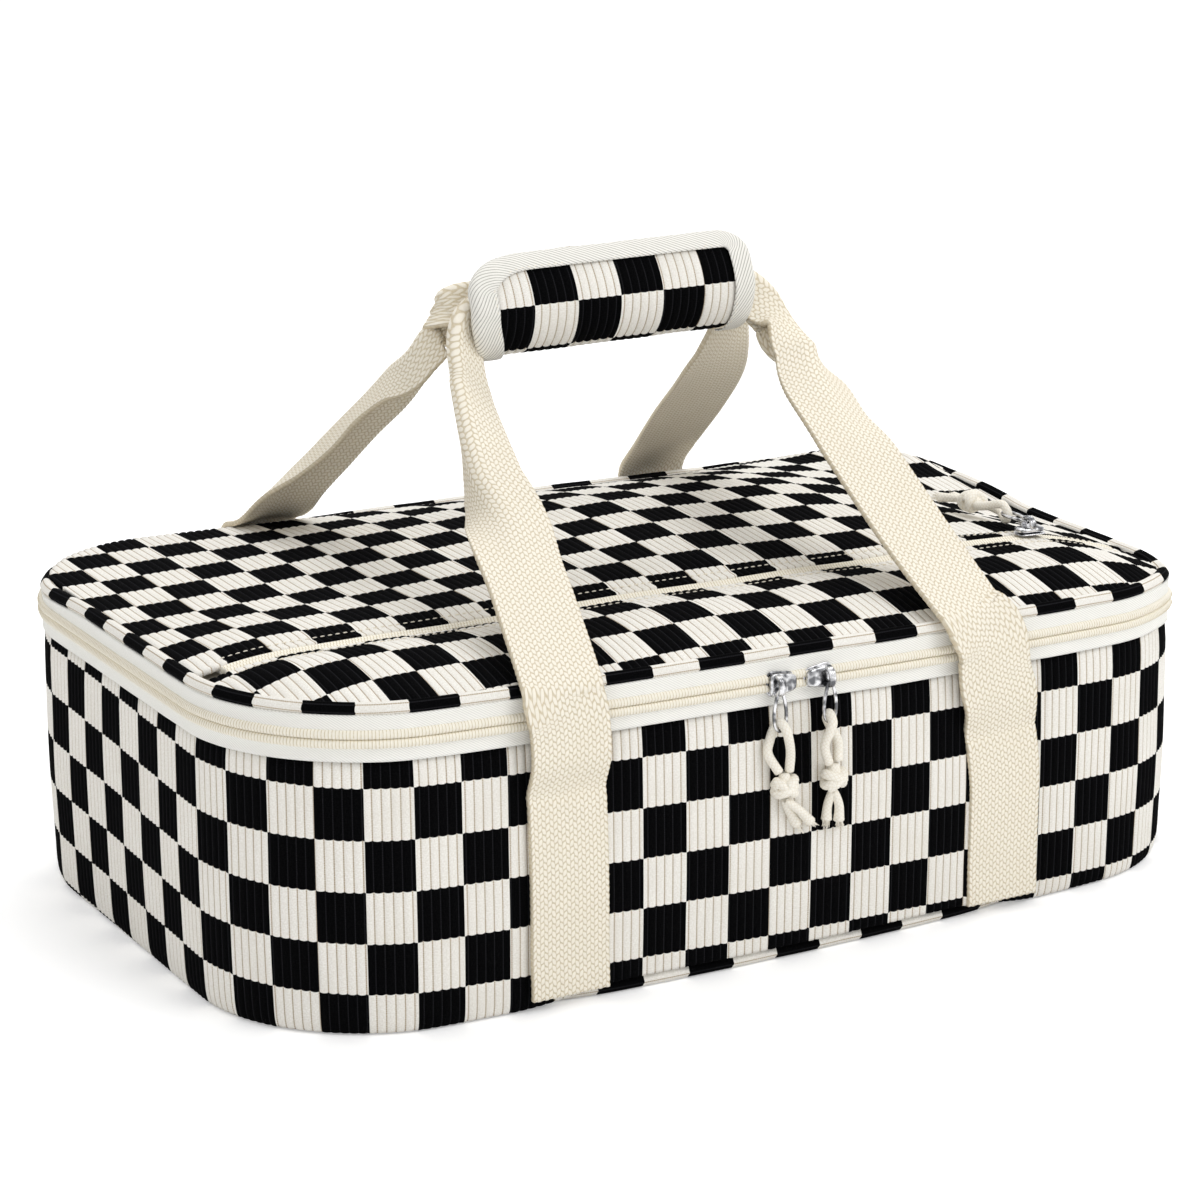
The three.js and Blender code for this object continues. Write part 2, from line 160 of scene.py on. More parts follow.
class Finish:
    def __init__(self, name, **constants):
        self.material = bpy.data.materials.new(name)
        self.material.use_nodes = True
        self.tree = self.material.node_tree
        self.shader = self.tree.nodes["Principled BSDF"]
        for socket, value in constants.items():
            self.shader.inputs[socket.replace("_", " ")].default_value = value

    def add(self, kind, settings, inputs, output=0):
        node = self.tree.nodes.new(kind)
        for key, value in settings.items():
            setattr(node, key, value)
        pairs = inputs.items() if isinstance(inputs, dict) else enumerate(inputs)
        for key, value in pairs:
            if isinstance(value, Wire):
                self.tree.links.new(value.socket, node.inputs[key])
            else:
                node.inputs[key].default_value = value
        return Wire(self, node.outputs[output])

    def clothPlace(self):  # across and along the cloth, in millimetres
        place = self.add("ShaderNodeUVMap", {"uv_map": "cloth"}, {})
        across = self.add("ShaderNodeSeparateXYZ", {}, [place], 0)
        return place, across, self.add("ShaderNodeSeparateXYZ", {}, [place], 1)

    def grain(self, place, size, detail=2.0):
        return self.add("ShaderNodeTexNoise", {}, {"Vector": place, "Scale": size, "Detail": detail})

    def mix(self, share, first, second):
        settings = {"data_type": "RGBA"}
        return self.add("ShaderNodeMix", settings, {0: share, 6: first, 7: second}, 2)

    def objectPlace(self):
        return self.add("ShaderNodeTexCoord", {}, {}, "Object")

    def colour(self, wire):
        self.tree.links.new(wire.socket, self.shader.inputs["Base Color"])

    def roughness(self, wire):
        self.tree.links.new(wire.socket, self.shader.inputs["Roughness"])

    def bump(self, height, strength, depth):
        settings = {"Height": height, "Strength": strength, "Distance": depth * mm}
        normal = self.add("ShaderNodeBump", {}, settings)
        self.tree.links.new(normal.socket, self.shader.inputs["Normal"])


def tone(red, green, blue):  # a screen colour, 0 to 255, as the shader wants it
    linear = [((c / 255 + 0.055) / 1.055) ** 2.4 if c > 10 else c / 3295 for c in (red, green, blue)]
    return (*linear, 1.0)


wale = {"pitch": 18 / 5.2, "depth": 0.55, "knots": (0.0, 0.13, 0.37, 0.63, 0.87)}
check = {"across": 18.0, "along": 19.6}


def ribHeight(across):  # 0 in a groove of the corduroy, 1 along a crest
    phase = across / wale["pitch"] % 1
    return 1 - abs(2 * phase - 1) ** 3


def checkedCloth():
    finish = Finish("checkedCorduroy", Roughness=1.0, Specular_IOR_Level=0.03)
    place, across, along = finish.clothPlace()
    phase = (across * (1 / wale["pitch"])).cycle()
    side = (phase - 0.5).maths("ABSOLUTE")  # 0 on a crest, 0.5 in a groove
    scallop = (side * side) * 1.1
    column = (across * (1 / check["across"])).whole()
    row = ((along - scallop) * (1 / check["along"])).whole()
    dark = ((column + row) * 0.5).cycle() * 2
    fuzz = finish.grain(place, 1.7)
    cloud = finish.grain(place, 0.045)
    thread = (along * 1.15 + finish.grain(place, 0.6) * 0.9).cycle()
    groove = side.between(0.405, 0.47) * (0.55 + thread.between(0.25, 0.6) * 0.45)
    cream = finish.mix(fuzz.between(0.3, 0.75), tone(235, 231, 222), tone(252, 250, 245))
    cream = finish.mix(groove, cream, tone(176, 155, 126))
    cream = finish.mix(cloud.between(0.35, 0.8) * 0.2, cream, tone(217, 210, 196))
    black = finish.mix(fuzz.between(0.3, 0.75), tone(3, 3, 4), tone(12, 12, 13))
    black = finish.mix(groove * 0.35, black, tone(58, 58, 62))
    finish.colour(finish.mix(dark, cream, black))
    pile = finish.grain(place, 3.2, 3.0)
    finish.bump(pile * 0.5 + thread * 0.25 - groove * 0.8, 0.55, 0.35)
    return finish.material


def webbingCloth():
    finish = Finish("cottonWebbing", Roughness=0.88, Specular_IOR_Level=0.2)
    place, across, along = finish.clothPlace()
    column = (across * (1 / leaf["across"])).whole()
    odd = (column * 0.5).cycle() * 2
    lean = odd * 2 - 1
    rise = (along * (1 / leaf["along"]) + odd * 0.5).cycle() - 0.5
    aside = (across * (1 / leaf["across"])).cycle() - 0.5 + rise * lean * leaf["lean"]
    oval = (aside * aside) * 4.6 + (rise * rise) * 3.4
    yarn = 1 - oval.between(0.4, 1.1)
    fuzz = finish.grain(place, 2.3)
    cloud = finish.grain(place, 0.07)
    # painted shade: the gaps round each raised woven stitch are coloured a darker tan, as the shade that
    # falls between the stitches
    base = finish.mix(yarn, tone(214, 200, 171), tone(248, 241, 226))
    base = finish.mix(fuzz.between(0.35, 0.8) * 0.35, base, tone(251, 246, 235))
    finish.colour(finish.mix(cloud.between(0.4, 0.8) * 0.12, base, tone(228, 216, 191)))
    ply = (along * 1.9 + aside * 2.0).maths("SINE")
    finish.bump(yarn + ply * 0.08 + fuzz * 0.25, 0.45, 0.5)
    return finish.material


def twillTape(name, pitch, dark, light):
    finish = Finish(name, Roughness=0.82, Specular_IOR_Level=0.25)
    place, across, along = finish.clothPlace()
    rib = ((across * 0.62 + along) * (1 / pitch)).ridge()
    stitch = ((across - along * 0.62) * (2.2 / pitch)).ridge()
    fuzz = finish.grain(place, 2.6)
    line = rib.between(0.55, 0.95) * (0.55 + stitch * 0.45)
    base = finish.mix(line, light, dark)
    finish.colour(finish.mix(fuzz.between(0.4, 0.8) * 0.2, base, tone(252, 251, 247)))
    finish.bump(1 - line + fuzz * 0.3, 0.5, 0.35)
    return finish.material


def coilPlastic():
    finish = Finish("zipCoil", Roughness=0.42, Specular_IOR_Level=0.45)
    place, across, along = finish.clothPlace()
    gapLine = (across * (1 / coil["pitch"])).ridge().between(0.6, 1.0)
    fuzz = finish.grain(place, 0.8)
    base = finish.mix(gapLine, tone(249, 243, 228), tone(208, 194, 160))
    finish.colour(finish.mix(fuzz.between(0.4, 0.75) * 0.4, base, tone(252, 248, 237)))
    finish.bump(fuzz - gapLine * 0.4, 0.3, 0.2)
    return finish.material


def cottonCord():
    finish = Finish("cottonCord", Roughness=0.9, Specular_IOR_Level=0.15)
    place, across, along = finish.clothPlace()
    braid = (along * 0.62 + across * 0.55).ridge()
    weave = braid.maths("MAXIMUM", (along * 0.62 - across * 0.55).ridge())
    fuzz = finish.grain(place, 1.6, 3.0)
    base = finish.mix(weave.between(0.7, 1.0) * 0.6, tone(252, 248, 238), tone(224, 212, 188))
    finish.colour(finish.mix(fuzz.between(0.35, 0.75) * 0.35, base, tone(242, 234, 216)))
    finish.bump(fuzz * 0.6 - weave * 0.5, 0.6, 0.4)
    return finish.material


def nickelMetal():
    finish = Finish("brightNickel", Metallic=1.0)
    place = finish.objectPlace()
    smudgeAndPaintedReflection = finish.grain(place, 260.0)
    scratch = finish.grain(place, 2400.0, 1.0)
    # painted reflection: the metal's colour swings in blotches between dark grey and near white, standing in
    # for dark and bright surroundings it reflects; the same noise varies the roughness like smudges
    finish.colour(finish.mix(smudgeAndPaintedReflection.between(0.4, 0.62), tone(98, 99, 102), tone(222, 222, 224)))
    finish.roughness(0.13 + smudgeAndPaintedReflection * 0.10 + scratch * 0.06)
    finish.bump(scratch, 0.06, 0.05)
    return finish.material


def foilLining():
    finish = Finish("foilLining", Metallic=0.55, Specular_IOR_Level=0.5)
    place = finish.objectPlace()
    edges = {"feature": "DISTANCE_TO_EDGE"}
    crease = finish.add("ShaderNodeTexVoronoi", edges, {"Vector": place, "Scale": 62.0})
    crinkle = finish.grain(place, 95.0, 4.0)
    dull = finish.grain(place, 14.0)
    finish.colour(finish.mix(crinkle, tone(186, 188, 192), tone(222, 224, 227)))
    finish.roughness(0.26 + dull * 0.22)
    finish.bump(crinkle + crease.between(0.0, 0.12) * 0.6, 0.7, 0.9)
    return finish.material


def sewingThread():
    finish = Finish("sewingThread", Roughness=0.6, Specular_IOR_Level=0.3)
    place = finish.objectPlace()
    fuzz = finish.grain(place, 3000.0)
    finish.colour(finish.mix(fuzz, tone(226, 217, 196), tone(248, 243, 231)))
    finish.bump(fuzz, 0.3, 0.1)
    return finish.material


def feltedTape(name, dark, light):
    finish = Finish(name, Roughness=0.95, Specular_IOR_Level=0.15)
    place = finish.objectPlace()
    fuzz = finish.grain(place, 1500.0, 4.0)
    finish.colour(finish.mix(fuzz, dark, light))
    finish.bump(fuzz, 0.9, 0.5)
    return finish.material


def greyBoard():
    finish = Finish("stiffBoard", Roughness=0.7, Specular_IOR_Level=0.3)
    place = finish.objectPlace()
    fleck = finish.grain(place, 420.0, 3.0)
    finish.colour(finish.mix(fleck, tone(196, 195, 190), tone(226, 225, 220)))
    finish.bump(fleck, 0.3, 0.2)
    return finish.material


leaf = {"across": 1.6, "along": 2.7, "lean": 0.6, "depth": 0.18}
coil = {"pitch": 1.25, "ribs": 0.16}
clothFinish = checkedCloth()
webFinish = webbingCloth()
tapeFinish = twillTape("zipTape", 0.95, tone(218, 217, 211), tone(252, 251, 245))
bindFinish = twillTape("twillBinding", 1.45, tone(146, 143, 134), tone(243, 241, 234))
coilFinish = coilPlastic()
cordFinish = cottonCord()
metalFinish = nickelMetal()
foilFinish = foilLining()
threadFinish = sewingThread()
loopFinish = feltedTape("loopPile", tone(205, 200, 188), tone(246, 243, 235))
hookFinish = feltedTape("hookPile", tone(198, 194, 184), tone(238, 235, 227))
pocketFinish = feltedTape("pocketCotton", tone(214, 208, 194), tone(240, 236, 226))
boardFinish = greyBoard()
print("finishes wired")


# Making pieces

def makePiece(name, bm, finish, body=None, nodes=()):
    mesh = bpy.data.meshes.new(name)
    bm.to_mesh(mesh)
    bm.free()
    mesh.shade_smooth()
    mesh.materials.append(finish)
    piece = bpy.data.objects.new(name, mesh)
    bpy.context.collection.objects.link(piece)
    if body:
        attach(piece, body)
    if nodes:
        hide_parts(*nodes)
    return piece


def clothGrid(columns, rows, place, weave=None, flip=False):
    # a grid of cloth: place gives the point of each knot, weave its spot on the flat cloth, in mm
    bm = bmesh.new()
    bmesh.ops.create_grid(bm, x_segments=len(columns) - 1, y_segments=len(rows) - 1, size=1)
    bm.verts.index_update()
    wide = len(columns)
    knots = [(columns[vert.index % wide], rows[vert.index // wide]) for vert in bm.verts]
    woven = [weave(*knot) if weave else knot for knot in knots]
    cloth = bm.loops.layers.uv.new("cloth")
    for face in bm.faces:
        for loop in face.loops:
            loop[cloth].uv = woven[loop.vert.index]
    for vert in bm.verts:
        vert.co = Vector(place(*knots[vert.index])) * mm
    bmesh.ops.remove_doubles(bm, verts=bm.verts, dist=1e-6)
    bmesh.ops.dissolve_degenerate(bm, edges=bm.edges, dist=1e-6)
    if flip:
        bmesh.ops.reverse_faces(bm, faces=bm.faces)
    return bm


def thicken(piece, thickness, offset=-1.0):
    layer = piece.modifiers.new("thickness", "SOLIDIFY")
    layer.thickness = thickness * mm
    layer.offset = offset
    return piece


def runAlong(points):
    # the length of the way up to each point
    run = [0.0]
    for a, b in zip(points, points[1:]):
        run.append(run[-1] + (b - a).length)
    return run


def stationAt(run, long):
    # the last point before this length, and the share of the way to the next
    i = min(max(bisect.bisect_right(run, long) - 1, 0), len(run) - 2)
    return i, (long - run[i]) / (run[i + 1] - run[i])


def closeTube(bm):
    bmesh.ops.holes_fill(bm, edges=[edge for edge in bm.edges if edge.is_boundary])
    bmesh.ops.recalc_face_normals(bm, faces=bm.faces)


def smoothRoute(points, steps):
    # a smooth line through the points given
    points = [Vector(p) for p in points]
    ends = [2 * points[0] - points[1]] + points + [2 * points[-1] - points[-2]]
    line = []
    for before, here, there, after in zip(ends, ends[1:], ends[2:], ends[3:]):
        for i in range(steps):
            t = i / steps
            curve = 2 * here + (there - before) * t + (2 * before - 5 * here + 4 * there - after) * t * t
            line.append((curve + (3 * here - before - 3 * there + after) * t ** 3) / 2)
    return line + [points[-1]]


def tube(line, radius, sides=10, closed=False):
    # a tube of cord or wire along a line in mm; radius may be a function of the share of the length
    thick = radius if callable(radius) else lambda share: radius
    count = len(line)
    after = [line[(i + 1) % count] if closed or i + 1 < count else line[i] for i in range(count)]
    before = [line[i - 1] if closed or i else line[i] for i in range(count)]
    heads = [(b - a).normalized() for a, b in zip(before, after)]
    side = heads[0].orthogonal().normalized()
    frames = []
    for head in heads:
        side = (side - head * side.dot(head)).normalized()
        frames.append((side.copy(), head.cross(side)))
    spare = 0.0
    if closed:  # share out the twist that is left after one round
        back = (side - heads[0] * side.dot(heads[0])).normalized()
        spare = math.atan2(back.dot(frames[0][1]), back.dot(frames[0][0]))
    run = runAlong(line)
    stations = list(range(count)) + ([count] if closed else [])

    def place(turn, station):
        i = int(station) % count
        angle = 2 * math.pi * turn - spare * station / count
        size = thick(station / max(1, count - 1))
        return line[i] + (frames[i][0] * math.cos(angle) + frames[i][1] * math.sin(angle)) * size

    def weave(turn, station):
        i = int(station)
        long = run[i] if i < count else run[-1] + (line[0] - line[-1]).length
        return turn * 2 * math.pi * thick(0.5), long

    bm = clothGrid(spread(0, 1, sides), stations, place, weave)
    if closed:
        bmesh.ops.recalc_face_normals(bm, faces=bm.faces)
    else:
        closeTube(bm)
    return bm


def joinMesh(parts):
    whole = bmesh.new()
    for part in parts:
        mesh = bpy.data.meshes.new("part")
        part.to_mesh(mesh)
        part.free()
        whole.from_mesh(mesh)
        bpy.data.meshes.remove(mesh)
    return whole


def stitches(runs, pitch, length, thick):
    # sewing stitches, small rounded dashes along each run of points in mm
    bm = bmesh.new()
    for line in runs:
        travel, due = 0.0, pitch / 2
        for a, b in zip(line, line[1:]):
            step = (b - a).length
            while due <= travel + step and step > 0:
                spot = a.lerp(b, (due - travel) / step)
                turn = (b - a).to_track_quat("X", "Z").to_matrix().to_4x4()
                size = Matrix.Diagonal((length / 2, thick / 2, thick / 2, 1))
                matrix = Matrix.Diagonal((mm, mm, mm, 1)) @ Matrix.Translation(spot) @ turn @ size
                bmesh.ops.create_uvsphere(bm, u_segments=6, v_segments=5, radius=1, matrix=matrix)
                due += pitch
            travel += step
    return bm


# Pull cords, with their rings: each loop follows the route in the part's source

pull = {
    "cord": 3.6,
    "bar": -17.2,
    "knot": -38.7,
    "ring": {"width": 8.0, "neck": 0.62, "length": 17.0, "wire": 1.4, "top": -0.9, "out": 5.4},
    "knotSize": (5.5, 4.6, 4.4),
    "knotOut": 4.9,
    "fibres": 26,
    "fibreLength": (2.2, 4.6),
    "fibreRadius": 0.42,
    "sunk": 3.7,  # the soft lid lies lower at the pocket's end
    # how far the ring hangs aside, and the knot beyond it
    "aside": {"left": (-2.8, 2.4), "right": (3.0, 2.4), "pocket": (0.0, 0.0)},
    "hang": (22.0, 13.0),  # how far down the cord starts to go aside, and over what length
}
zipHeight = (boxOf("zip_lower_coil")[1].z + boxOf("zip_upper_coil")[0].z) / 2
pocketX = 157.0
mainX = 8.0
bagFront = boxOf("base_wall_cloth")[0].y
lidPlane = boxOf("lid_rear_panel")[1].z
slitY = (boxOf("pocket_coil_rear")[0].y + boxOf("pocket_coil_front")[1].y) / 2
sliderPlaces = {
    "left": (lambda p: Vector((p[0] - mainX, bagFront - p[2], zipHeight + p[1])), 1),
    "right": (lambda p: Vector((p[0] + mainX, bagFront - p[2], zipHeight + p[1])), -1),
    "pocket": (lambda p: Vector((pocketX - p[0], slitY - p[1], lidPlane - pull["sunk"] + p[2])), 1),
}


def loopRoute(lean):
    bar, knot = pull["bar"], pull["knot"]
    return [
        (2.2 * lean, knot + 5.1, 4.8),
        (3.4 * lean, bar - 9, 6.4),
        (2.0 * lean, bar - 3, 8.4),
        (0.8 * lean, bar + 0.6, 8.6),
        (0.2 * lean, bar + 3.3, 5.4),
        (-0.6 * lean, bar + 0.6, 2.3),
        (-2.6 * lean, bar - 4, 2.4),
        (-4.4 * lean, bar - 9, 3.2),
        (-2.2 * lean, knot + 5.1, 4.6),
    ]


tails = {
    "left": [(7.0, -17.5, 2.4), (3.4, -11.5, 2.8), (1.0, -6.9, 4.2), (6.2, -11, 5.4), (12.0, -17.0, 4.0)],
    "right": [(-1.6, -18, 2.4), (-1.4, -12, 3.0), (0, -6.9, 4.4), (2.2, -12, 5.0), (2.8, -18.5, 4.2)],
    "pocket": [(-3.0, -19, 2.4), (-2.4, -11, 3.2), (0, -6.9, 4.4), (2.6, -11, 4.4), (5.0, -18, 3.4)],
}


def ringRoute():
    # a teardrop of wire, hung from the slider's bridge
    ring = pull["ring"]
    line = []
    for t in spread(0, 1, 40)[:-1]:
        angle = 2 * math.pi * t
        drop = (1 - math.cos(angle)) / 2
        wide = ring["width"] / 2 * (ring["neck"] + (1 - ring["neck"]) * drop)
        line.append((
            (wide - ring["wire"] / 2) * math.sin(angle),
            ring["top"] - (ring["length"] - ring["wire"]) * drop - ring["wire"] / 2,
            ring["out"],
        ))
    return line


def knotWraps(lean):
    # the doubled cord wound over itself: two crossing bands round a core
    centre = Vector((0, pull["knot"], pull["knotOut"]))
    wide, high, deep = pull["knotSize"]
    fat = pull["cord"] / 2
    bands = []
    for turns, tilt, first, start in ((1.25, 0.5, -0.42, 0.2), (1.1, -0.65, -0.5, 2.6)):
        band = []
        for t in spread(0, 1, 36):
            angle = start + lean * 2 * math.pi * turns * t
            up = (first + (1 - 2 * abs(first)) * t + 0.35 * t) * high
            x = (wide - fat) * math.cos(angle)
            z = (deep - fat * 0.8) * math.sin(angle)
            band.append(centre + Vector((x, up + tilt * x * lean, z)))
        bands.append(band)
    core = [centre + Vector((0, up, 0)) for up in spread(-high, high, 12)]
    return bands, core


def makePull(side):
    slide, lean = sliderPlaces[side]
    body = side + "_pull"
    ringAside, knotAside = pull["aside"][side]

    def place(p):
        return slide((p[0] + ringAside + knotAside * ramp(-p[1], *pull["hang"]), p[1], p[2]))

    ring = tube([place(p) for p in ringRoute()], pull["ring"]["wire"] / 2, 10, closed=True)
    makePiece(side + "PullRing", ring, metalFinish, body, [side + "_pull_ring"])

    bands, core = knotWraps(lean)
    fat = pull["cord"] / 2
    parts = [tube([place(p) for p in band], fat * 1.06, 12) for band in bands]
    waist = lambda share: fat * (1.0 + 0.55 * math.sin(math.pi * share))
    parts.append(tube([place(p) for p in core], waist, 12))
    knot = makePiece(side + "PullKnot", joinMesh(parts), cordFinish, body, [side + "_pull_knot"])

    ends = makeTails(side, place, body)
    line = smoothRoute([place(p) for p in loopRoute(lean)], 8)
    cord = tube(line, fat, 12)
    loop = makePiece(side + "PullCord", cord, cordFinish, body, [side + "_pull_cord"])
    place((0, pull["bar"], pull["ring"]["out"])) * mm
    runAlong(line)[-1] * mm
    [p * mm for p in line]


def makeTails(side, place, body):
    # two cut ends below the knot, each opening into loose fibres
    draw = random.Random(len(side))
    fat = pull["cord"] / 2
    route = smoothRoute([(x, pull["knot"] + y, z) for x, y, z in tails[side]], 8)
    middle = len(route) // 2
    parts = []
    for end in (route[middle::-1], route[middle:]):
        flare = lambda share: fat * (0.92 + 0.28 * share ** 3)
        parts.append(tube([place(p) for p in end], flare, 12))
        head = (end[-1] - end[-3]).normalized()
        for fibre in range(pull["fibres"] // 2):
            angle = draw.uniform(0, 2 * math.pi)
            off = Vector((math.cos(angle), 0, math.sin(angle))) * draw.uniform(0.2, 0.95) * fat
            bend = Vector((draw.uniform(-1, 1), 0, draw.uniform(-0.4, 0.8))) * 1.1
            long = draw.uniform(*pull["fibreLength"])
            strand = [end[-1] + off + head * long * t + bend * t * t for t in (-0.5, 0, 0.5, 1)]
            thin = lambda share: pull["fibreRadius"] * (1.05 - 0.75 * share)
            parts.append(tube([place(p) for p in strand], thin, 5))
    return makePiece(side + "PullTails", joinMesh(parts), cordFinish, body, [side + "_pull_tails"])


for side in sliderPlaces:
    makePull(side)
print("pull cords tied")


# The bag's outline in plan, by the length round it from the middle of the front

bag = {
    "corner": 63.0,  # plan radius of the padded corners
    "bow": 13.1,  # how far the front swells, end to middle
    "backSlack": 1.5,
    "step": 2.0,
}
wallLow, wallHigh = boxOf("base_wall_cloth")
halfLength = wallHigh.x
frontFlat = wallLow.y + 0.5 + bag["bow"]
backLine = wallHigh.y - bag["backSlack"]
midDepth = (frontFlat + backLine) / 2
halfDepth = (backLine - frontFlat) / 2


def bowed(x, y):
    share = clamp((midDepth - y) / halfDepth)
    return y - bag["bow"] * (1 - (x / halfLength) ** 2) * share


def tracePlan():
    corner = bag["corner"]
    right = halfLength - corner
    low, high = frontFlat + corner, backLine - corner
    raw = [(0.0, frontFlat)]
    for x, y, first in ((right, low, -90), (right, high, 0), (-right, high, 90), (-right, low, 180)):
        for angle in spread(first, first + 90, 24):
            turn = math.radians(angle)
            raw.append((x + corner * math.cos(turn), y + corner * math.sin(turn)))
    raw.append((0.0, frontFlat))
    points = []
    for (x0, y0), (x1, y1) in zip(raw, raw[1:]):
        count = max(1, int(math.hypot(x1 - x0, y1 - y0) / bag["step"]))
        for t in spread(0, 1, count)[:-1]:
            x, y = x0 + (x1 - x0) * t, y0 + (y1 - y0) * t
            points.append(Vector((x, bowed(x, y))))
    return points


plan = tracePlan()
planRun = runAlong(plan + plan[:1])
planLength = planRun[-1]


def planNormal(i):
    ahead = plan[(i + 2) % len(plan)] - plan[(i - 2) % len(plan)]
    return Vector((ahead.y, -ahead.x)).normalized()


planNormals = [planNormal(i) for i in range(len(plan))]


def planAt(u, out=0.0):
    # the outline's point u mm round from the middle of the front, to the right, moved outwards
    i, t = stationAt(planRun, u % planLength)
    after = (i + 1) % len(plan)
    spot = plan[i].lerp(plan[after], t)
    normal = planNormals[i].lerp(planNormals[after], t).normalized()
    return spot + normal * out


def planEdges(x, inset):
    # the front and back of the outline at x, drawn in by inset
    corner = bag["corner"] - inset
    past = clamp(abs(x) - (halfLength - bag["corner"]), 0, corner)
    drop = corner - math.sqrt(corner * corner - past * past)
    return bowed(x, frontFlat + inset + drop), backLine - inset - drop


def insideBy(x, y):
    # how far a point lies inside the outline
    flat = y + bag["bow"] * (1 - (x / halfLength) ** 2) * clamp((midDepth - y) / halfDepth)
    across = abs(x) - (halfLength - bag["corner"])
    along = abs(flat - midDepth) - (halfDepth - bag["corner"])
    outer = math.hypot(max(across, 0), max(along, 0)) + min(max(across, along), 0)
    return bag["corner"] - outer


def waleColumns(low, high):
    # knots across the cloth, several to each wale, lined up with its grooves
    first, last = int(low // wale["pitch"]), int(high // wale["pitch"]) + 1
    inner = [(k + step) * wale["pitch"] for k in range(first, last) for step in wale["knots"]]
    return [low] + [c for c in inner if low + 0.2 < c < high - 0.2] + [high]


lid = {
    "edge": boxOf("lid_piping")[0].z + 2.6,
    "rise": (8.6, 3.8),  # of the padding along the front, and what more there is towards the back
    "backFrom": (-90.0, 120.0),  # where that starts, and its run
    "peak": (58.0, 33.0),  # the fullest place
    "frontRun": 44.0,  # from the front edge to where the padding is full
    "endRun": 45.0,  # from either end, along the front
    "rightRun": 138.0,  # and from the right end, further back
    "backRim": 16.0,  # the padding stops this far from the back edge
    "drop": 4.5,  # the edge sinks towards the back
    "dropFrom": (30.0, 100.0),
    "tilt": (0.009, 0.024),  # the soft rim stands higher at the left end, lower at the right
    "sag": 5.5,  # of the rim's right end, halfway back
    "backLift": 3.0,  # and what its back corner stands up by
    "sagFrom": (150.0, 46.0),
    "inset": 2.6,
    "valley": 2.5,  # along the pocket zip
    "valleyHalf": 14.0,
    "valleyEnd": (50.0, 90.0),
    "lip": 5.0,  # from the middle of the pocket zip to the folded cloth
    "lipRound": 1.3,
    "topstitch": 4.2,  # from the lip
    "sewnHalf": 196.0,
    "thick": 1.6,
    "rear": (-86.3, -44.8, math.radians(-1.53)),
    "front": (-53.2, -106.1, math.radians(1.24)),
    "rows": (52, 26),  # knots along the rear and front panels
}


def zipLift(x, y):
    # the rim slopes along the bag, and its right end sags halfway back
    sag = lid["sag"] * ramp(y, -125, 50) * (1 - ramp(y, 0, 80)) - lid["backLift"] * ramp(y, 70, 30)
    return -lid["tilt"][x > 0] * x - sag * ramp(x, *lid["sagFrom"])


def lidDrop(y):
    return lid["drop"] * ramp(y, *lid["dropFrom"])


# Base: wall, piping, floor and linings

wall = {
    "top": boxOf("base_wall_cloth")[1].z + 1,
    "seam": 0.4,  # lower edge of the wall cloth
    "seamFront": 5.2,  # and how much higher it is along the front
    "swell": 1.0,
    "tuck": 8.0,  # height of the curve under
    "tuckIn": 2.2,
    "topTuck": (0.8, 8.0),  # how far the top draws in under the zip, and over what height
    "press": 1.1,  # how far the sewn straps draw the padding in
    "pressHalf": 19.0,
    "strapX": 96.0,
    "column": 10.64,  # where the check falls at the middle of the front, in squares
    "row": 89.5,
    "slope": 0.0285,
    "rows": 26,
    "thick": 2.2,
}


def frontShare(spot):
    # 1 along the middle of the front, 0 at its ends and round the back
    return ease((120 - abs(spot.x)) / 50) if spot.y < 0 else 0.0


def wallSeam(u):
    return wall["seam"] + wall["seamFront"] * frontShare(planAt(u))


def wallTop(u):
    return wall["top"] + zipLift(*planAt(u))


def wallOut(u, z):
    # how far the padded wall stands out from the outline at this height
    spot = planAt(u)
    swell = wall["swell"] * math.sin(math.pi * clamp((z - 6) / (wall["top"] - 6)))
    low = clamp((wall["tuck"] - z) / wall["tuck"], 0, 0.995)
    tuck = wall["tuckIn"] * (1 - math.sqrt(1 - low * low))
    inward, under = wall["topTuck"]
    high = inward * ramp(z, wallTop(u) - under, under)
    press = 0.0
    if abs(spot.y) > 110:  # the front and the back, where the straps are
        nearStrap = abs(abs(spot.x) - wall["strapX"]) / wall["pressHalf"]
        press = wall["press"] * math.exp(-nearStrap ** 4) * ramp(z, 4, 20)
    return swell - tuck - high - press + 0.55 * ripple(spot.x, spot.y, z, 42)


def makeWall():
    shift = wall["column"] * check["across"]

    def level(u, t):
        seam = wallSeam(u)
        return seam + (wallTop(u) - seam) * t

    def place(across, t):
        u = across - shift
        z = level(u, t)
        spot = planAt(u, wallOut(u, z) + wale["depth"] * (ribHeight(across) - 1))
        return spot.x, spot.y, z

    def weave(across, t):
        u = across - shift
        return across, level(u, t) + wall["slope"] * u - wall["row"]

    columns = waleColumns(shift - planLength / 2, shift + planLength / 2)
    rows = [t ** 1.35 for t in spread(0, 1, wall["rows"])]
    bm = clothGrid(columns, rows, place, weave)
    nodes = ["base_wall_cloth", "base_wall_foam"]
    piece = makePiece("wallCloth", bm, clothFinish, "base", nodes)
    thicken(piece, wall["thick"])


piping = {"radius": 2.7, "segment": 19.0, "sides": 20, "knots": 440, "wales": 5, "hidden": 3.4}


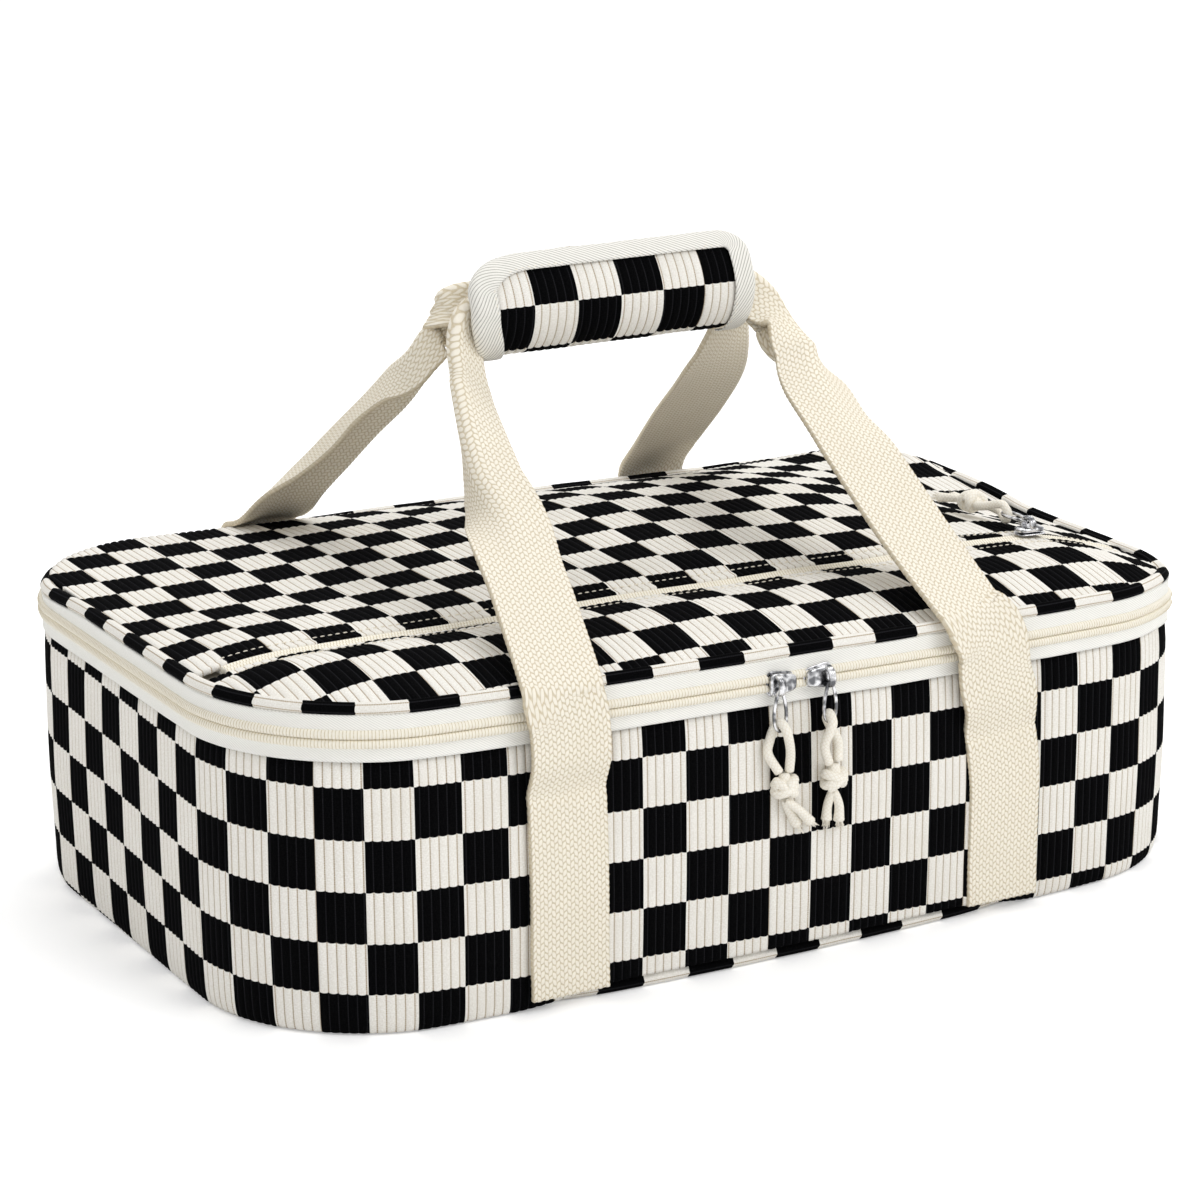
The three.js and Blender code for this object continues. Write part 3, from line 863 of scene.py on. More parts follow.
def makePiping(name, body, node, inset, height, phase, onRim):
    # checked piping round the outline, the wales running along it; under the bag only the front shows it
    radius = piping["radius"]

    def place(turn, u):
        angle = 2 * math.pi * turn
        wobble = 0.25 * ripple(u, height, 0, 16)
        rib = 0.16 * math.cos(angle * piping["wales"])
        hidden = 0 if onRim else piping["hidden"] * (1 - frontShare(planAt(u)))
        spot = planAt(u, (radius + rib) * math.cos(angle) - inset - hidden + wobble)
        level = height + (zipLift(*spot) - lidDrop(spot.y)) * onRim
        return spot.x, spot.y, level + (radius + rib) * math.sin(angle) + wobble * onRim

    def weave(turn, u):
        share = (u / planLength + 0.5) * round(planLength / piping["segment"] / 2) * 2
        return 1.0 + turn * piping["wales"] * wale["pitch"] * 0.98, (share + phase) * check["along"]

    along = spread(-planLength / 2, planLength / 2, piping["knots"])
    bm = clothGrid(spread(0, 1, piping["sides"]), along, place, weave)
    bmesh.ops.recalc_face_normals(bm, faces=bm.faces)
    makePiece(name, bm, clothFinish, body, [node])


def plateGrid(inset, count, rows, height, flip=False):
    # a flat or domed panel inside the outline, its columns drawn together towards the rounded ends
    def spot(x, t):
        low, high = planEdges(x, inset)
        return x, low + (high - low) * t

    def place(x, t):
        return *spot(x, t), height(*spot(x, t))

    columns = [(halfLength - inset) * math.sin(math.pi / 2 * side) for side in spread(-1, 1, count)]
    return clothGrid(columns, spread(0, 1, rows), place, spot, flip)


foil = {"thick": 0.6, "inset": 9.6, "level": 9.0, "edge": 4.0}


def liningSheet(piece, inset):
    thicken(piece, foil["thick"])


floor = {"inset": 6.5, "under": 0.9, "thick": 3.6, "boardInset": 11.0}


def makeFloor():
    def under(x, y):
        return floor["under"] + 0.25 * ripple(x, y, 0, 55)

    nodes = ["base_floor_cloth", "base_floor_foam"]
    bm = plateGrid(floor["inset"], 150, 70, under, True)
    piece = makePiece("floorCloth", bm, clothFinish, "base", nodes)
    thicken(piece, floor["thick"])

    low, high = boxOf("base_floor_board")

    def boardTop(x, y):
        return high.z + 0.15 * ripple(x, y, 1, 60)

    bm = plateGrid(floor["boardInset"], 60, 30, boardTop)
    thicken(makePiece("floorBoard", bm, boardFinish, "base", ["base_floor_board"]), high.z - low.z)

    def foilTop(x, y):  # turned up a little along its edge
        return foil["level"] + 0.5 * ripple(x, y, 3, 40) + foil["edge"] * math.exp(-insideBy(x, y) ** 2 / 250)

    bm = plateGrid(foil["inset"], 120, 60, foilTop)
    piece = makePiece("floorLining", bm, foilFinish, "base", ["base_floor_lining"])
    liningSheet(piece, foil["inset"])


rim = {"top": zipHeight - 0.9, "outer": -3.2, "inner": -8.6, "bottom": 10.0, "round": 2.4, "seam": 8.0}


def makeWallLining():
    # the foil lining: over the padded rim behind the zip and down the inside
    outer, inner = rim["outer"], rim["inner"]
    shoulder = rim["top"] - rim["round"]

    def place(u, v):
        if v < 1:  # up the back of the zip and over the rim
            angle = math.pi * v
            out = (outer + inner) / 2 + (outer - inner) / 2 * math.cos(angle)
            z = shoulder + rim["round"] * math.sin(angle)
        else:
            z = shoulder - (shoulder - rim["bottom"]) * (v - 1)
            out = inner + 0.8 * ripple(u, z, 9, 33) * math.sin(math.pi * (v - 1))
        spot = planAt(u, out)
        return spot.x, spot.y, z

    rows = spread(0, 1, 8) + [1 + t for t in spread(0, 1, 24)[1:]]
    bm = clothGrid(spread(-planLength / 2, planLength / 2, 420), rows, place, None, True)
    piece = makePiece("wallLining", bm, foilFinish, "base", ["base_wall_lining"])
    high = rim["top"] - rim["bottom"] + rim["seam"]
    long = planLength - 2 * math.pi * rim["seam"]
    flat = (long * mm, high * mm)
    thicken(piece, foil["thick"])


makeWall()
makePiping("basePiping", "base", "base_piping", inset=4.5, height=2.75, phase=0.35, onRim=0)
makeFloor()
makeWallLining()
print("base sewn")


# Main zip: tapes, coils and the cloth hinge along the back

zipLine = {
    "end": planLength / 2 - boxOf("hinge_strip_lower")[1].x,
    "tapeOut": 0.9,
    "tapeThick": 0.9,
    "lowerTape": (-8.5, -2.6),  # up from the middle of the zip
    "upperTape": (2.6, 8.8),
    "coilRadius": (1.5, 1.75),  # out of the cloth, and up
    "coilOut": 0.75,
    "coil": 1.72,
    "endStop": 4.0,  # from the end of the tape to the end of the coil
    "hinge": 1.6,  # thickness of the cloth that the lid folds on
    "hingeFold": 5.0,  # half the height of the fold
}


def makeTape(name, body, node, low, high):
    end = zipLine["end"]

    def place(u, t):
        z = zipHeight + low + (high - low) * t
        wave = 0.16 * ripple(u, z, 1, 14)
        spot = planAt(u, zipLine["tapeOut"] - 0.35 * math.sin(math.pi * t) + wave)
        drop = lidDrop(spot.y) * clamp((z - zipHeight - 2) / 6)
        return spot.x, spot.y, z + 0.22 * ripple(u, 7, 1, 30) + zipLift(*spot) - drop

    bm = clothGrid(spread(-end, end, 480), spread(0, 1, 6), place, lambda u, t: (u, (high - low) * t))
    thicken(makePiece(name, bm, tapeFinish, body, [node]), zipLine["tapeThick"])


def coilRib(along, angle):
    # the swell of each turn of the spiral
    return 1 + coil["ribs"] * math.cos(2 * math.pi * (along + 0.28 * math.sin(angle)) / coil["pitch"])


def coilPiece(name, body, node, reach, place):
    def weave(turn, along):
        return along, turn * 8

    count = int(2 * reach / coil["pitch"] * 4)
    bm = clothGrid(spread(0, 1, 8), spread(-reach, reach, count), place, weave)
    closeTube(bm)
    makePiece(name, bm, coilFinish, body, [node])


def makeCoil(name, body, node, height):
    # the coil: a nylon spiral, seen as a ridge of fine ribs
    deep, high = zipLine["coilRadius"]

    def place(turn, u):
        angle = 2 * math.pi * turn
        rib = coilRib(u, angle)
        spot = planAt(u, zipLine["coilOut"] + deep * rib * math.cos(angle))
        z = zipHeight + height + high * (0.9 + 0.1 * rib) * math.sin(angle)
        return spot.x, spot.y, z + zipLift(*spot)

    coilPiece(name, body, node, zipLine["end"] - zipLine["endStop"], place)


def makeHingeStrip():
    # one strip of cloth folds along the back, from the base to the lid
    reach = boxOf("hinge_strip_lower")[1].x
    low, high = boxOf("hinge_strip_lower")[0].z - 1, boxOf("hinge_strip_upper")[1].z + 1 - lidDrop(backLine)

    def place(across, t):
        x = -across
        z = low + (high - low) * t
        out = 1.2 + 0.5 * math.sin(math.pi * t) + wale["depth"] * 0.8 * (ribHeight(across) - 1)
        return x, backLine + out, z

    columns = waleColumns(-reach, reach)
    bm = clothGrid(columns, spread(0, 1, 16), place, lambda across, t: (across, (high - low) * t - 8))
    nodes = ["hinge_strip_lower", "hinge_strip_upper"]
    piece = makePiece("hingeCloth", bm, clothFinish, None, nodes)
    thicken(piece, zipLine["hinge"])
    start, end = (zipHeight + way * zipLine["hingeFold"] for way in (-1, 1))
    start * mm
    end * mm
    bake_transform(piece)


makeTape("zipLowerTape", "base", "zip_lower_tape", *zipLine["lowerTape"])
makeTape("zipUpperTape", "lid", "zip_upper_tape", *zipLine["upperTape"])
makeCoil("zipLowerCoil", "base", "zip_lower_coil", -zipLine["coil"])
makeCoil("zipUpperCoil", "lid", "zip_upper_coil", zipLine["coil"])
makeHingeStrip()
print("main zip sewn")


# Lid: two padded panels either side of a zip pocket, piping and lining

def lidHeight(x, y):
    low, high = planEdges(x, 0)
    peakX, peakY = lid["peak"]
    ends = 1 - (1 - clamp((halfLength - abs(x)) / lid["endRun"])) ** 2
    full = ramp(x, -halfLength, halfLength + peakX) if x < peakX else ease((halfLength - x) / lid["rightRun"])
    back = ramp(y, *lid["backFrom"])
    puff = (ends + (full - ends) * back) * (1 - (1 - clamp((y - low) / lid["frontRun"])) ** 1.9)
    if y > peakY:
        puff *= 1 - ((y - peakY) / (high - peakY - lid["backRim"])) ** 2
    rise = lid["rise"][0] + lid["rise"][1] * back + 0.9 * ripple(x, y, 2, 47)
    valley = lid["valley"] * math.exp(-((y - slitY) / lid["valleyHalf"]) ** 2)
    rise -= valley * (1 - ramp(x, *lid["valleyEnd"]))
    return lid["edge"] + zipLift(x, y) + rise * puff


def makeLidPanel(name, node, corner, rear, rows):
    cos, sin = math.cos(corner[2]), math.sin(corner[2])
    lip = slitY + lid["lip"] if rear else slitY - lid["lip"]
    reach = halfLength - lid["inset"]

    def toX(across, y):
        along = (y - corner[1] - across * sin) / cos
        return clamp(corner[0] + across * cos - along * sin, -reach, reach)

    def limits(across):
        y = lip
        for _ in range(4):
            low, high = planEdges(toX(across, y), lid["inset"])
            y = high if rear else low
        return (lip, max(high, lip)) if rear else (min(low, lip), lip)

    def yAt(across, t):
        low, high = limits(across)
        return low + (high - low) * t

    def place(across, t):
        fold = 0.0
        if rear and t < 0 or not rear and t > 1:  # the lip turns under
            fold, t = (-t, 0.0) if rear else (t - 1, 1.0)
        y = yAt(across, t)
        x = toX(across, y)
        z = lidHeight(x, y)
        rib = wale["depth"] * (ribHeight(across) - 1)
        away = abs(y - lip)
        z += rib - 0.5 * math.exp(-(away - lid["topstitch"]) ** 2 / 2.5)  # sunk along the topstitching
        inward = -1 if rear else 1
        angle = math.pi * fold
        y += inward * (lid["lipRound"] * math.sin(angle) + rib * (fold > 0))
        z -= lid["lipRound"] * (1 - math.cos(angle))
        return x, y, z

    def weave(across, t):
        along = (yAt(across, clamp(t)) - corner[1] - across * sin) / cos
        slope = 1.05 if along < 0 and not rear else 1.0  # it runs further where it falls to the front
        return across, along * slope + (t - clamp(t)) * 4

    low = (-reach - corner[0]) / cos
    high = (reach - corner[0]) / cos
    columns = [c for c in waleColumns(low, high) if limits(c)[1] - limits(c)[0] > 2.5]
    folds = [-1.0, -0.75, -0.5, -0.25]
    flat = spread(0, 1, rows)
    steps = folds + flat if rear else flat + [1 - f for f in reversed(folds)]
    bm = clothGrid(columns, steps, place, weave)
    nodes = [node, "lid_foam"] if rear else [node]
    piece = makePiece(name, bm, clothFinish, "lid", nodes)
    thicken(piece, lid["thick"])
    y = lip + lid["topstitch"] if rear else lip - lid["topstitch"]
    half = lid["sewnHalf"]
    line = [Vector((x, y, lidHeight(x, y) - 0.25)) for x in spread(-half, half, 300)]
    sewn = stitches([line], pitch=3.1, length=2.1, thick=0.55)
    makePiece(name + "Stitches", sewn, threadFinish, "lid")


pocket = {
    "coil": 1.55,  # each coil from the middle of the slit
    "coilSunk": 1.5,  # below the cloth
    "tape": (1.2, 9.8),  # where it starts, and its width
    "tapeSunk": 2.6,
    "tapeThick": 0.7,
    "deep": 5.2,
    "inset": 9.0,
}


def makePocketZip():
    reach = boxOf("pocket_coil_rear")[1].x
    deep, high = zipLine["coilRadius"]
    start, width = pocket["tape"]
    for side, sign in (("rear", 1), ("front", -1)):

        def place(turn, x):
            angle = 2 * math.pi * turn
            z = lidHeight(x, slitY) - pocket["coilSunk"] + deep * coilRib(x, angle) * math.cos(angle)
            return x, slitY + sign * pocket["coil"] + high * math.sin(angle), z

        coilPiece(f"pocketCoil{side.title()}", "lid", f"pocket_coil_{side}", reach, place)

        def tapePlace(x, t):
            z = lidHeight(x, slitY) - pocket["tapeSunk"] - 0.5 * t - 0.4 * ramp(t, 0.4, 0.4)
            return x, slitY + sign * (start + width * t), z

        across = spread(-reach, reach, 160)
        bm = clothGrid(across, spread(0, 1, 8), tapePlace, lambda x, t: (x, 10 * t), sign < 0)
        name = f"pocketTape{side.title()}"
        piece = makePiece(name, bm, bindFinish, "lid", [f"pocket_tape_{side}"])
        thicken(piece, pocket["tapeThick"])


lidFoil = {"inset": 1.6, "level": zipHeight + 2.4, "sunk": 7.0, "clear": 2.0}


def makeLidLinings():
    # the pocket's own lining, under the panels, and the foil inside the lid
    def pocketFloor(x, y):
        return lidHeight(x, y) - pocket["deep"] - 0.5 * ripple(x, y, 5, 30)

    bm = plateGrid(pocket["inset"], 110, 70, pocketFloor)
    piece = makePiece("pocketLining", bm, pocketFinish, "lid", ["lid_pocket_lining"])
    liningSheet(piece, pocket["inset"])

    def inner(x, y):
        sunk = lidFoil["sunk"] * ramp(insideBy(x, y), 4, 16) - lidDrop(y) * 0.3
        level = lidFoil["level"] + sunk + 0.7 * ripple(x, y, 8, 36) + zipLift(x, y)
        return min(level, pocketFloor(x, y) - lidFoil["clear"])

    bm = plateGrid(lidFoil["inset"], 150, 90, inner, True)
    piece = makePiece("lidLining", bm, foilFinish, "lid", ["lid_lining"])
    liningSheet(piece, lidFoil["inset"])


makeLidPanel("lidRearPanel", "lid_rear_panel", lid["rear"], True, lid["rows"][0])
makeLidPanel("lidFrontPanel", "lid_front_panel", lid["front"], False, lid["rows"][1])
makePiping("lidPiping", "lid", "lid_piping", inset=1.9, height=lid["edge"] - 0.4, phase=0.2, onRim=1)
makePocketZip()
makeLidLinings()
print("lid sewn")


# Handles: each one webbing, sewn up the wall, folded in half and run through the grip

handle = {
    "width": 32.0,
    "thick": 2.0,
    "bottom": 5.0,
    "stitchTop": 72.0,
    "stitchLow": 27.0,
    "step": 1.0,
    "columns": 60,
    "crease": math.radians(170),
    "apart": 5.2,  # each grip's face from the middle of the wrap
    "wallTop": 92.0,  # where the webbing leaves the wall
    "onWall": 0.7,  # its face out from the wall
    "onZip": 2.9,  # and over the zip
    "upright": (216.0, 16.0),  # from this height on it turns on edge, over this run
    "selvedge": 1.2,
    "scallop": 0.12,
    "weaveFrom": 40.0,
    "stitchIn": (2.5, 1.5),  # from the webbing's sides, and from the top of the sewn part
    "swing": (137.0, -3.0, 12.0),  # where it bends: y, and heights from the top of the sewn part
}
# the free part of each leg, from the wall up: x, y, z, the share folded, and its twist in degrees
legs = {
    "frontRight": [
        (91, -137, 88, 0, 0), (87.5, -138, 99, 0, 0), (85, -138.5, 113, 0, -2),
        (79.5, -136.5, 122.5, 0, -5), (77, -130.5, 128.5, 0, -4), (73, -106, 147, 0, 0),
        (69.5, -73, 172, 0, 0), (68, -56, 185, 0.1, 0), (67.5, -39, 198, 0.25, 12),
        (66, -26, 207.5, 0.55, 16), (66, -14, 217, 1, -18), (58, -10, 225, 1, 0),
        (50, -8, 230.5, 1, 0), (38, -7.5, 233.5, 1, 0),
    ],
    "frontLeft": [
        (-97, -137.5, 97, 0, 0), (-98, -138, 112, 0, 0), (-100, -137.5, 120, 0, 0),
        (-99, -133, 126.5, 0, 0), (-94, -104.5, 148, 0, 0), (-91, -89, 159, 0.06, 2),
        (-86, -74, 170, 0.26, 0), (-82, -58, 181, 0.5, -5), (-79, -42, 192.5, 0.7, 10),
        (-75.5, -26, 204, 0.9, 27), (-72.5, -16.5, 210, 1, 31), (-71, -10.5, 220.5, 1, 23),
        (-68, -8, 228.5, 1, 9), (-59, -7.5, 232.5, 1, 0), (-46, -7, 234, 1, 0),
    ],
    "rearRight": [
        (96, 139, 112, 0, 0), (95.5, 136.5, 120.5, 0, 0), (93, 125, 129.5, 0, 0),
        (90.5, 114, 137, 0, 0), (81, 80.5, 158.5, 0, -2), (71.5, 48.5, 179, 0, 3),
        (64, 29, 194, 0, 14), (61, 18.5, 206, 0.03, 26), (57, 9.5, 219, 0.42, 30),
        (50, 4.5, 228.5, 1, 0), (42, 3.5, 233, 1, 0),
    ],
    "rearLeft": [
        (-95.5, 139, 113, 0, 0), (-95, 136.5, 121, 0.04, 4), (-94, 126, 127.5, 0.14, 10),
        (-91, 108, 142.5, 0.36, 30), (-84.5, 88.5, 158.5, 0.47, 30), (-80, 69.5, 174.5, 0.49, 26),
        (-76, 51, 190, 0.47, 26), (-74.5, 33, 205, 0.47, 15), (-74.5, 20, 216, 0.46, -9),
        (-67.5, 10.5, 225.5, 0.76, -10), (-69.5, 5, 231.5, 1, 24), (-55, 3.5, 234, 1, 0),
    ],
}
wrapLow, wrapHigh = boxOf("wrap_flap_binding")
backHigh = boxOf("wrap_back_panel")[1]
wrapMid = Vector((0, (wrapLow.y + backHigh.y) / 2, (wrapLow.z + wrapHigh.z) / 2))


def strapWall(x, z, face):
    # the wall, or the zip and lid edge above it, where a strap lies on it
    u = x if face < 0 else planLength / 2 - x
    for _ in range(6):
        u += (x - planAt(u).x) * (1 if face < 0 else -1)
    out = wallOut(u, min(z, handle["wallTop"])) + handle["onWall"]
    out += (handle["onZip"] - out) * ramp(z, handle["wallTop"] + 2, 12)
    return planAt(u, out).y


def legFree(face, side):
    return legs[("front" if face < 0 else "rear") + ("Right" if side > 0 else "Left")]


def strapMiddle(face, side, z):
    # a sewn strap leans a little towards where its free part starts
    start, (x, _, top, _, _) = side * wall["strapX"], legFree(face, side)[0]
    return start + (x - start) * ramp(z, 50, top - 40)


def strapLeg(face, side):
    # (point, way across, fold and twist) from the foot of one leg up to the grip
    free = legFree(face, side)
    stations = []
    for z in spread(handle["bottom"], min(free[0][2] - 12, handle["wallTop"]), 16):
        x = strapMiddle(face, side, z)
        stations.append((Vector((x, strapWall(x, z, face), z)), Vector((side, 0, 0)), Vector((0, 0, 0))))
    for x, y, z, share, twist in free:
        turn = math.pi / 2 * ramp(z, *handle["upright"])
        way = Vector((side * math.cos(turn), 0, math.sin(turn)))
        stations.append((Vector((x, y, z)), way, Vector((share, math.radians(twist), 0))))
    return stations


def leafHeight(across, along):
    # the woven relief of the webbing: slanting stitches in staggered columns
    column = math.floor(across / leaf["across"])
    odd = column % 2
    rise = (along / leaf["along"] + odd * 0.5) % 1 - 0.5
    aside = across / leaf["across"] % 1 - 0.5 + rise * (2 * odd - 1) * leaf["lean"]
    return 1 - ease((aside * aside * 4.6 + rise * rise * 3.4 - 0.15) / 0.85)


def foldedSection(share):
    # across the webbing: (sideways, inwards) of each knot, one half turning behind the other
    half, count = handle["width"] / 2, handle["columns"]
    step = 2 * half / count
    bend = 0.34 - 0.2 * share  # the fold gets sharper as it closes
    section = [(0.0, 0.0)]
    for i in range(count):
        s = -1 + 2 * (i + 0.5) / count
        angle = handle["crease"] * share * ramp(s, -bend, 2 * bend)
        side, deep = section[-1]
        section.append((side + step * math.cos(angle), deep + step * math.sin(angle)))
    low = min(side for side, deep in section)
    lean = (low + max(side for side, deep in section)) / 2
    return [(side - lean, deep) for side, deep in section]


def makeHandle(name, face, nodes):
    gripY = wrapMid.y + face * handle["apart"]
    grip = (Vector((0, gripY, wrapMid.z)), Vector((0, 0, 1)), Vector((1, 0, 0)))
    whole = strapLeg(face, 1) + [grip] + strapLeg(face, -1)[::-1]
    line = smoothRoute([point for point, way, fold in whole], 12)
    run = runAlong(line)
    length = run[-1]
    ways = smoothRoute([way for point, way, fold in whole], 12)
    folds = smoothRoute([fold for point, way, fold in whole], 12)
    count = int(length / handle["step"])
    knots = []
    for long in spread(0, length, count):
        i, t = stationAt(run, long)
        head = (line[min(i + 2, len(line) - 1)] - line[max(i - 1, 0)]).normalized()
        way = ways[i].lerp(ways[i + 1], t)
        way = (way - head * way.dot(head)).normalized()
        out = way.cross(head) * -face
        share, twist, _ = folds[i].lerp(folds[i + 1], t)
        across = way * math.cos(twist) + out * math.sin(twist)
        out = out * math.cos(twist) - way * math.sin(twist)
        knots.append((line[i].lerp(line[i + 1], t), across, out, foldedSection(clamp(share))))

    def aside(column):
        return handle["width"] * (column / handle["columns"] - 0.5)

    def place(column, station):
        spot, way, out, section = knots[int(station)]
        side, deep = section[int(column)]
        across, along = aside(column), length * station / count
        edge = clamp((abs(across) - handle["width"] / 2) / handle["selvedge"] + 1)
        wave = math.cos(2 * math.pi * along / leaf["along"])
        scallop = math.copysign(handle["scallop"] * edge, across) * wave
        relief = leaf["depth"] * (leafHeight(across + handle["weaveFrom"], along) - 1) * (1 - edge)
        return spot + way * (side + scallop) + out * (relief - deep)

    def weave(column, station):
        return aside(column) + handle["weaveFrom"], length * station / count

    bm = clothGrid(list(range(handle["columns"] + 1)), list(range(count + 1)), place, weave, face < 0)
    piece = makePiece(name, bm, webFinish, None, nodes)
    thicken(piece, handle["thick"])
    y, *heights = handle["swing"]
    start, end = ((0, face * y * mm, (handle["stitchTop"] + height) * mm) for height in heights)
    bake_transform(piece)
    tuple(start)
    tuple(end)


def makeStrapStitches(name, face):
    # a box with a cross in it, through each sewn strap
    runs = []
    inward, under = handle["stitchIn"]
    low, high, half = handle["stitchLow"], handle["stitchTop"] - under, handle["width"] / 2 - inward
    for side in (-1, 1):
        corners = [(-half, low), (half, low), (half, high), (-half, high), (-half, low), (half, high)]
        corners += [(half, low), (-half, high)]
        for (ax, az), (bx, bz) in zip(corners, corners[1:]):
            line = []
            for t in spread(0, 1, 24):
                pz = az + (bz - az) * t
                px = strapMiddle(face, side, pz) + ax + (bx - ax) * t
                line.append(Vector((px, strapWall(px, pz, face) + face * 0.12, pz)))
            runs.append(line)
    makePiece(name, stitches(runs, pitch=3.0, length=2.3, thick=0.6), threadFinish, "base")


def handleNodes(face):
    straps = [f"{face}_{side}_{part}_strap" for side in ("left", "right") for part in ("sewn", "free")]
    return straps + [f"{face}_grip_webbing"]


makeHandle("frontHandle", -1, handleNodes("front"))
makeHandle("rearHandle", 1, handleNodes("rear"))
makeStrapStitches("frontStrapStitches", -1)
makeStrapStitches("rearStrapStitches", 1)
print("handles sewn")


# Grip wrap: a padded flap with a bound edge, closed over the back half

wrap = {
    "deep": (backHigh.y - wrapLow.y) / 2,
    "high": (wrapHigh.z - wrapLow.z) / 2,
    "narrow": 1.29,
    "ends": (-70.5, 54.0),  # it has slipped a little to the left
    "corners": ((27.0, 18.0), (12.0, 12.0)),  # along the wrap and round it
    "pinch": 6.0,  # how much the left end draws in towards the seam
    "padding": 4.6,
    "binding": 10.0,
    "row": 28.7,  # girth from the seam to a line of the check
    "column": -45.0,
    "stretch": 1.05,
    "free": 52.6,  # girth from the seam to the free edge
    "overlap": 4.0,  # of the back panel under the free edge
    "backIn": (16.0, 3.0),  # the back panel's ends, in from the flap's
    "backCut": (58.0, 20.0),  # its upper corners, along the wrap
    "backCorner": 32.0,  # and round it
    "backPadding": 2.4,
    "liningShare": 0.54,  # of the girth
    "innerGirth": 0.72,
    "stitchIn": 1.1,  # from the binding's inner edge
    "stitchOut": 1.2,
}


def rollSpot(angle):
    # an oval whose upper half narrows towards the crest
    aside, up = math.sin(angle), -math.cos(angle)
    power = wrap["narrow"] if up > 0 else 1.0
    aside, up = math.copysign(abs(aside) ** power, aside), math.copysign(abs(up) ** power, up)
    return Vector((-wrap["deep"] * aside, wrap["high"] * up))


rollSteps = 720
rollSpots = [rollSpot(2 * math.pi * i / rollSteps) for i in range(rollSteps + 1)]
rollRun = runAlong(rollSpots)
girth = rollRun[-1]


def rollAt(q, out=0.0):
    # (y, z) on the roll, q mm round from its bottom seam towards the front, moved outwards
    i, t = stationAt(rollRun, q % girth)
    spot = rollSpots[i].lerp(rollSpots[i + 1], t)
    ahead = rollSpots[(i + 14) % rollSteps] - rollSpots[(i - 13) % rollSteps]
    spot += Vector((-ahead.y, ahead.x)).normalized() * out
    return wrapMid.y + spot.x, wrapMid.z + spot.y


def flapEnds(q, inset):
    # where the flap ends at q, left and right, its upper corners rounded
    ends = []
    for side, end, corner in zip((1, -1), wrap["ends"], wrap["corners"]):
        long, tall = (max(size - inset, 1.0) for size in corner)
        past = clamp((q - (wrap["free"] - inset - tall)) / tall)
        pinch = wrap["pinch"] * (1 - ease(q / 26)) if side > 0 else 0.0
        ends.append(end + side * (inset + pinch + long - long * math.sqrt(1 - past * past)))
    return ends


def flapOut(x, q):
    share = fromMiddle(x, *wrap["ends"])
    pillow = math.sin(math.pi * clamp(q / wrap["free"])) * (1 - min(share ** 4, 1))
    return 0.9 * pillow + 0.25 * ripple(x, q, 4, 18)


def wrapX(across):
    return wrap["column"] + (across - check["across"]) * wrap["stretch"]


def wrapAcross(x):
    return (x - wrap["column"]) / wrap["stretch"] + check["across"]


def makeWrapFlap():
    inset = wrap["binding"] - 1.5
    top = wrap["free"] - inset
    low, high = flapEnds(top / 2, inset)

    def place(across, t):
        q = top * t
        x = clamp(wrapX(across), *flapEnds(q, inset))
        y, z = rollAt(q, flapOut(x, q) + wale["depth"] * (ribHeight(across) - 1))
        return x, y, z

    def weave(across, t):
        x = clamp(wrapX(across), *flapEnds(top * t, inset))
        return wrapAcross(x), top * t - wrap["row"] + check["along"] * 4

    bm = clothGrid(waleColumns(wrapAcross(low), wrapAcross(high)), spread(0, 1, 44), place, weave)
    piece = makePiece("wrapFlap", bm, clothFinish, "wrap_flap", ["wrap_flap_panel"])
    thicken(piece, wrap["padding"])


def backEnds():
    return wrap["ends"][0] + wrap["backIn"][0], wrap["ends"][1] - wrap["backIn"][1]


def makeWrapBack():
    start = wrap["free"] - wrap["overlap"]
    low, high = backEnds()

    def girthAt(t):
        return start + (girth - start) * t

    def xAt(across, t):
        # drawn in at the lower edge, with rounded upper corners under the flap's
        x = wrapX(across)
        x -= fromMiddle(x, low, high) ** 3 * 4 * ramp(t, 0.7, 0.3)
        cut = (1 - clamp((girthAt(t) - start) / wrap["backCorner"])) ** 2
        return clamp(x, low + wrap["backCut"][0] * cut, high - wrap["backCut"][1] * cut)

    def place(across, t):
        q = girthAt(t)
        x = xAt(across, t)
        share = fromMiddle(x, low, high)
        under = -3.4 * (1 - ramp(q, start, 8))
        pillow = 0.7 * math.sin(math.pi * t) * (1 - share ** 4)
        y, z = rollAt(q, under + pillow + wale["depth"] * (ribHeight(across) - 1))
        return x, y, z

    def weave(across, t):
        return wrapAcross(xAt(across, t)), girthAt(t)

    bm = clothGrid(waleColumns(wrapAcross(low), wrapAcross(high)), spread(0, 1, 44), place, weave)
    nodes = ["wrap_back_panel", "wrap_padding"]
    piece = makePiece("wrapBack", bm, clothFinish, "rear_handle", nodes)
    thicken(piece, wrap["backPadding"])


def makeWrapLining():
    low, high = backEnds()
    share = wrap["liningShare"]

    def place(x, t):
        q = girth * (1 - share + share * t)
        y, z = rollAt(q, -5.0 + 0.3 * ripple(x, q, 6, 15))
        return x, y, z

    bm = clothGrid(spread(low + 2, high - 2, 60), spread(0, 1, 40), place, lambda x, t: (x, 60 * t))
    piece = makePiece("wrapLining", bm, bindFinish, "rear_handle", ["wrap_lining"])
    thicken(piece, 1.2)


def flapCorner(middle, size, angles):
    # spots round an upper corner of the flap
    turns = [math.radians(angle) for angle in angles]
    low = wrap["free"] - size[1]
    return [(middle + size[0] * math.cos(turn), low + size[1] * math.sin(turn)) for turn in turns]


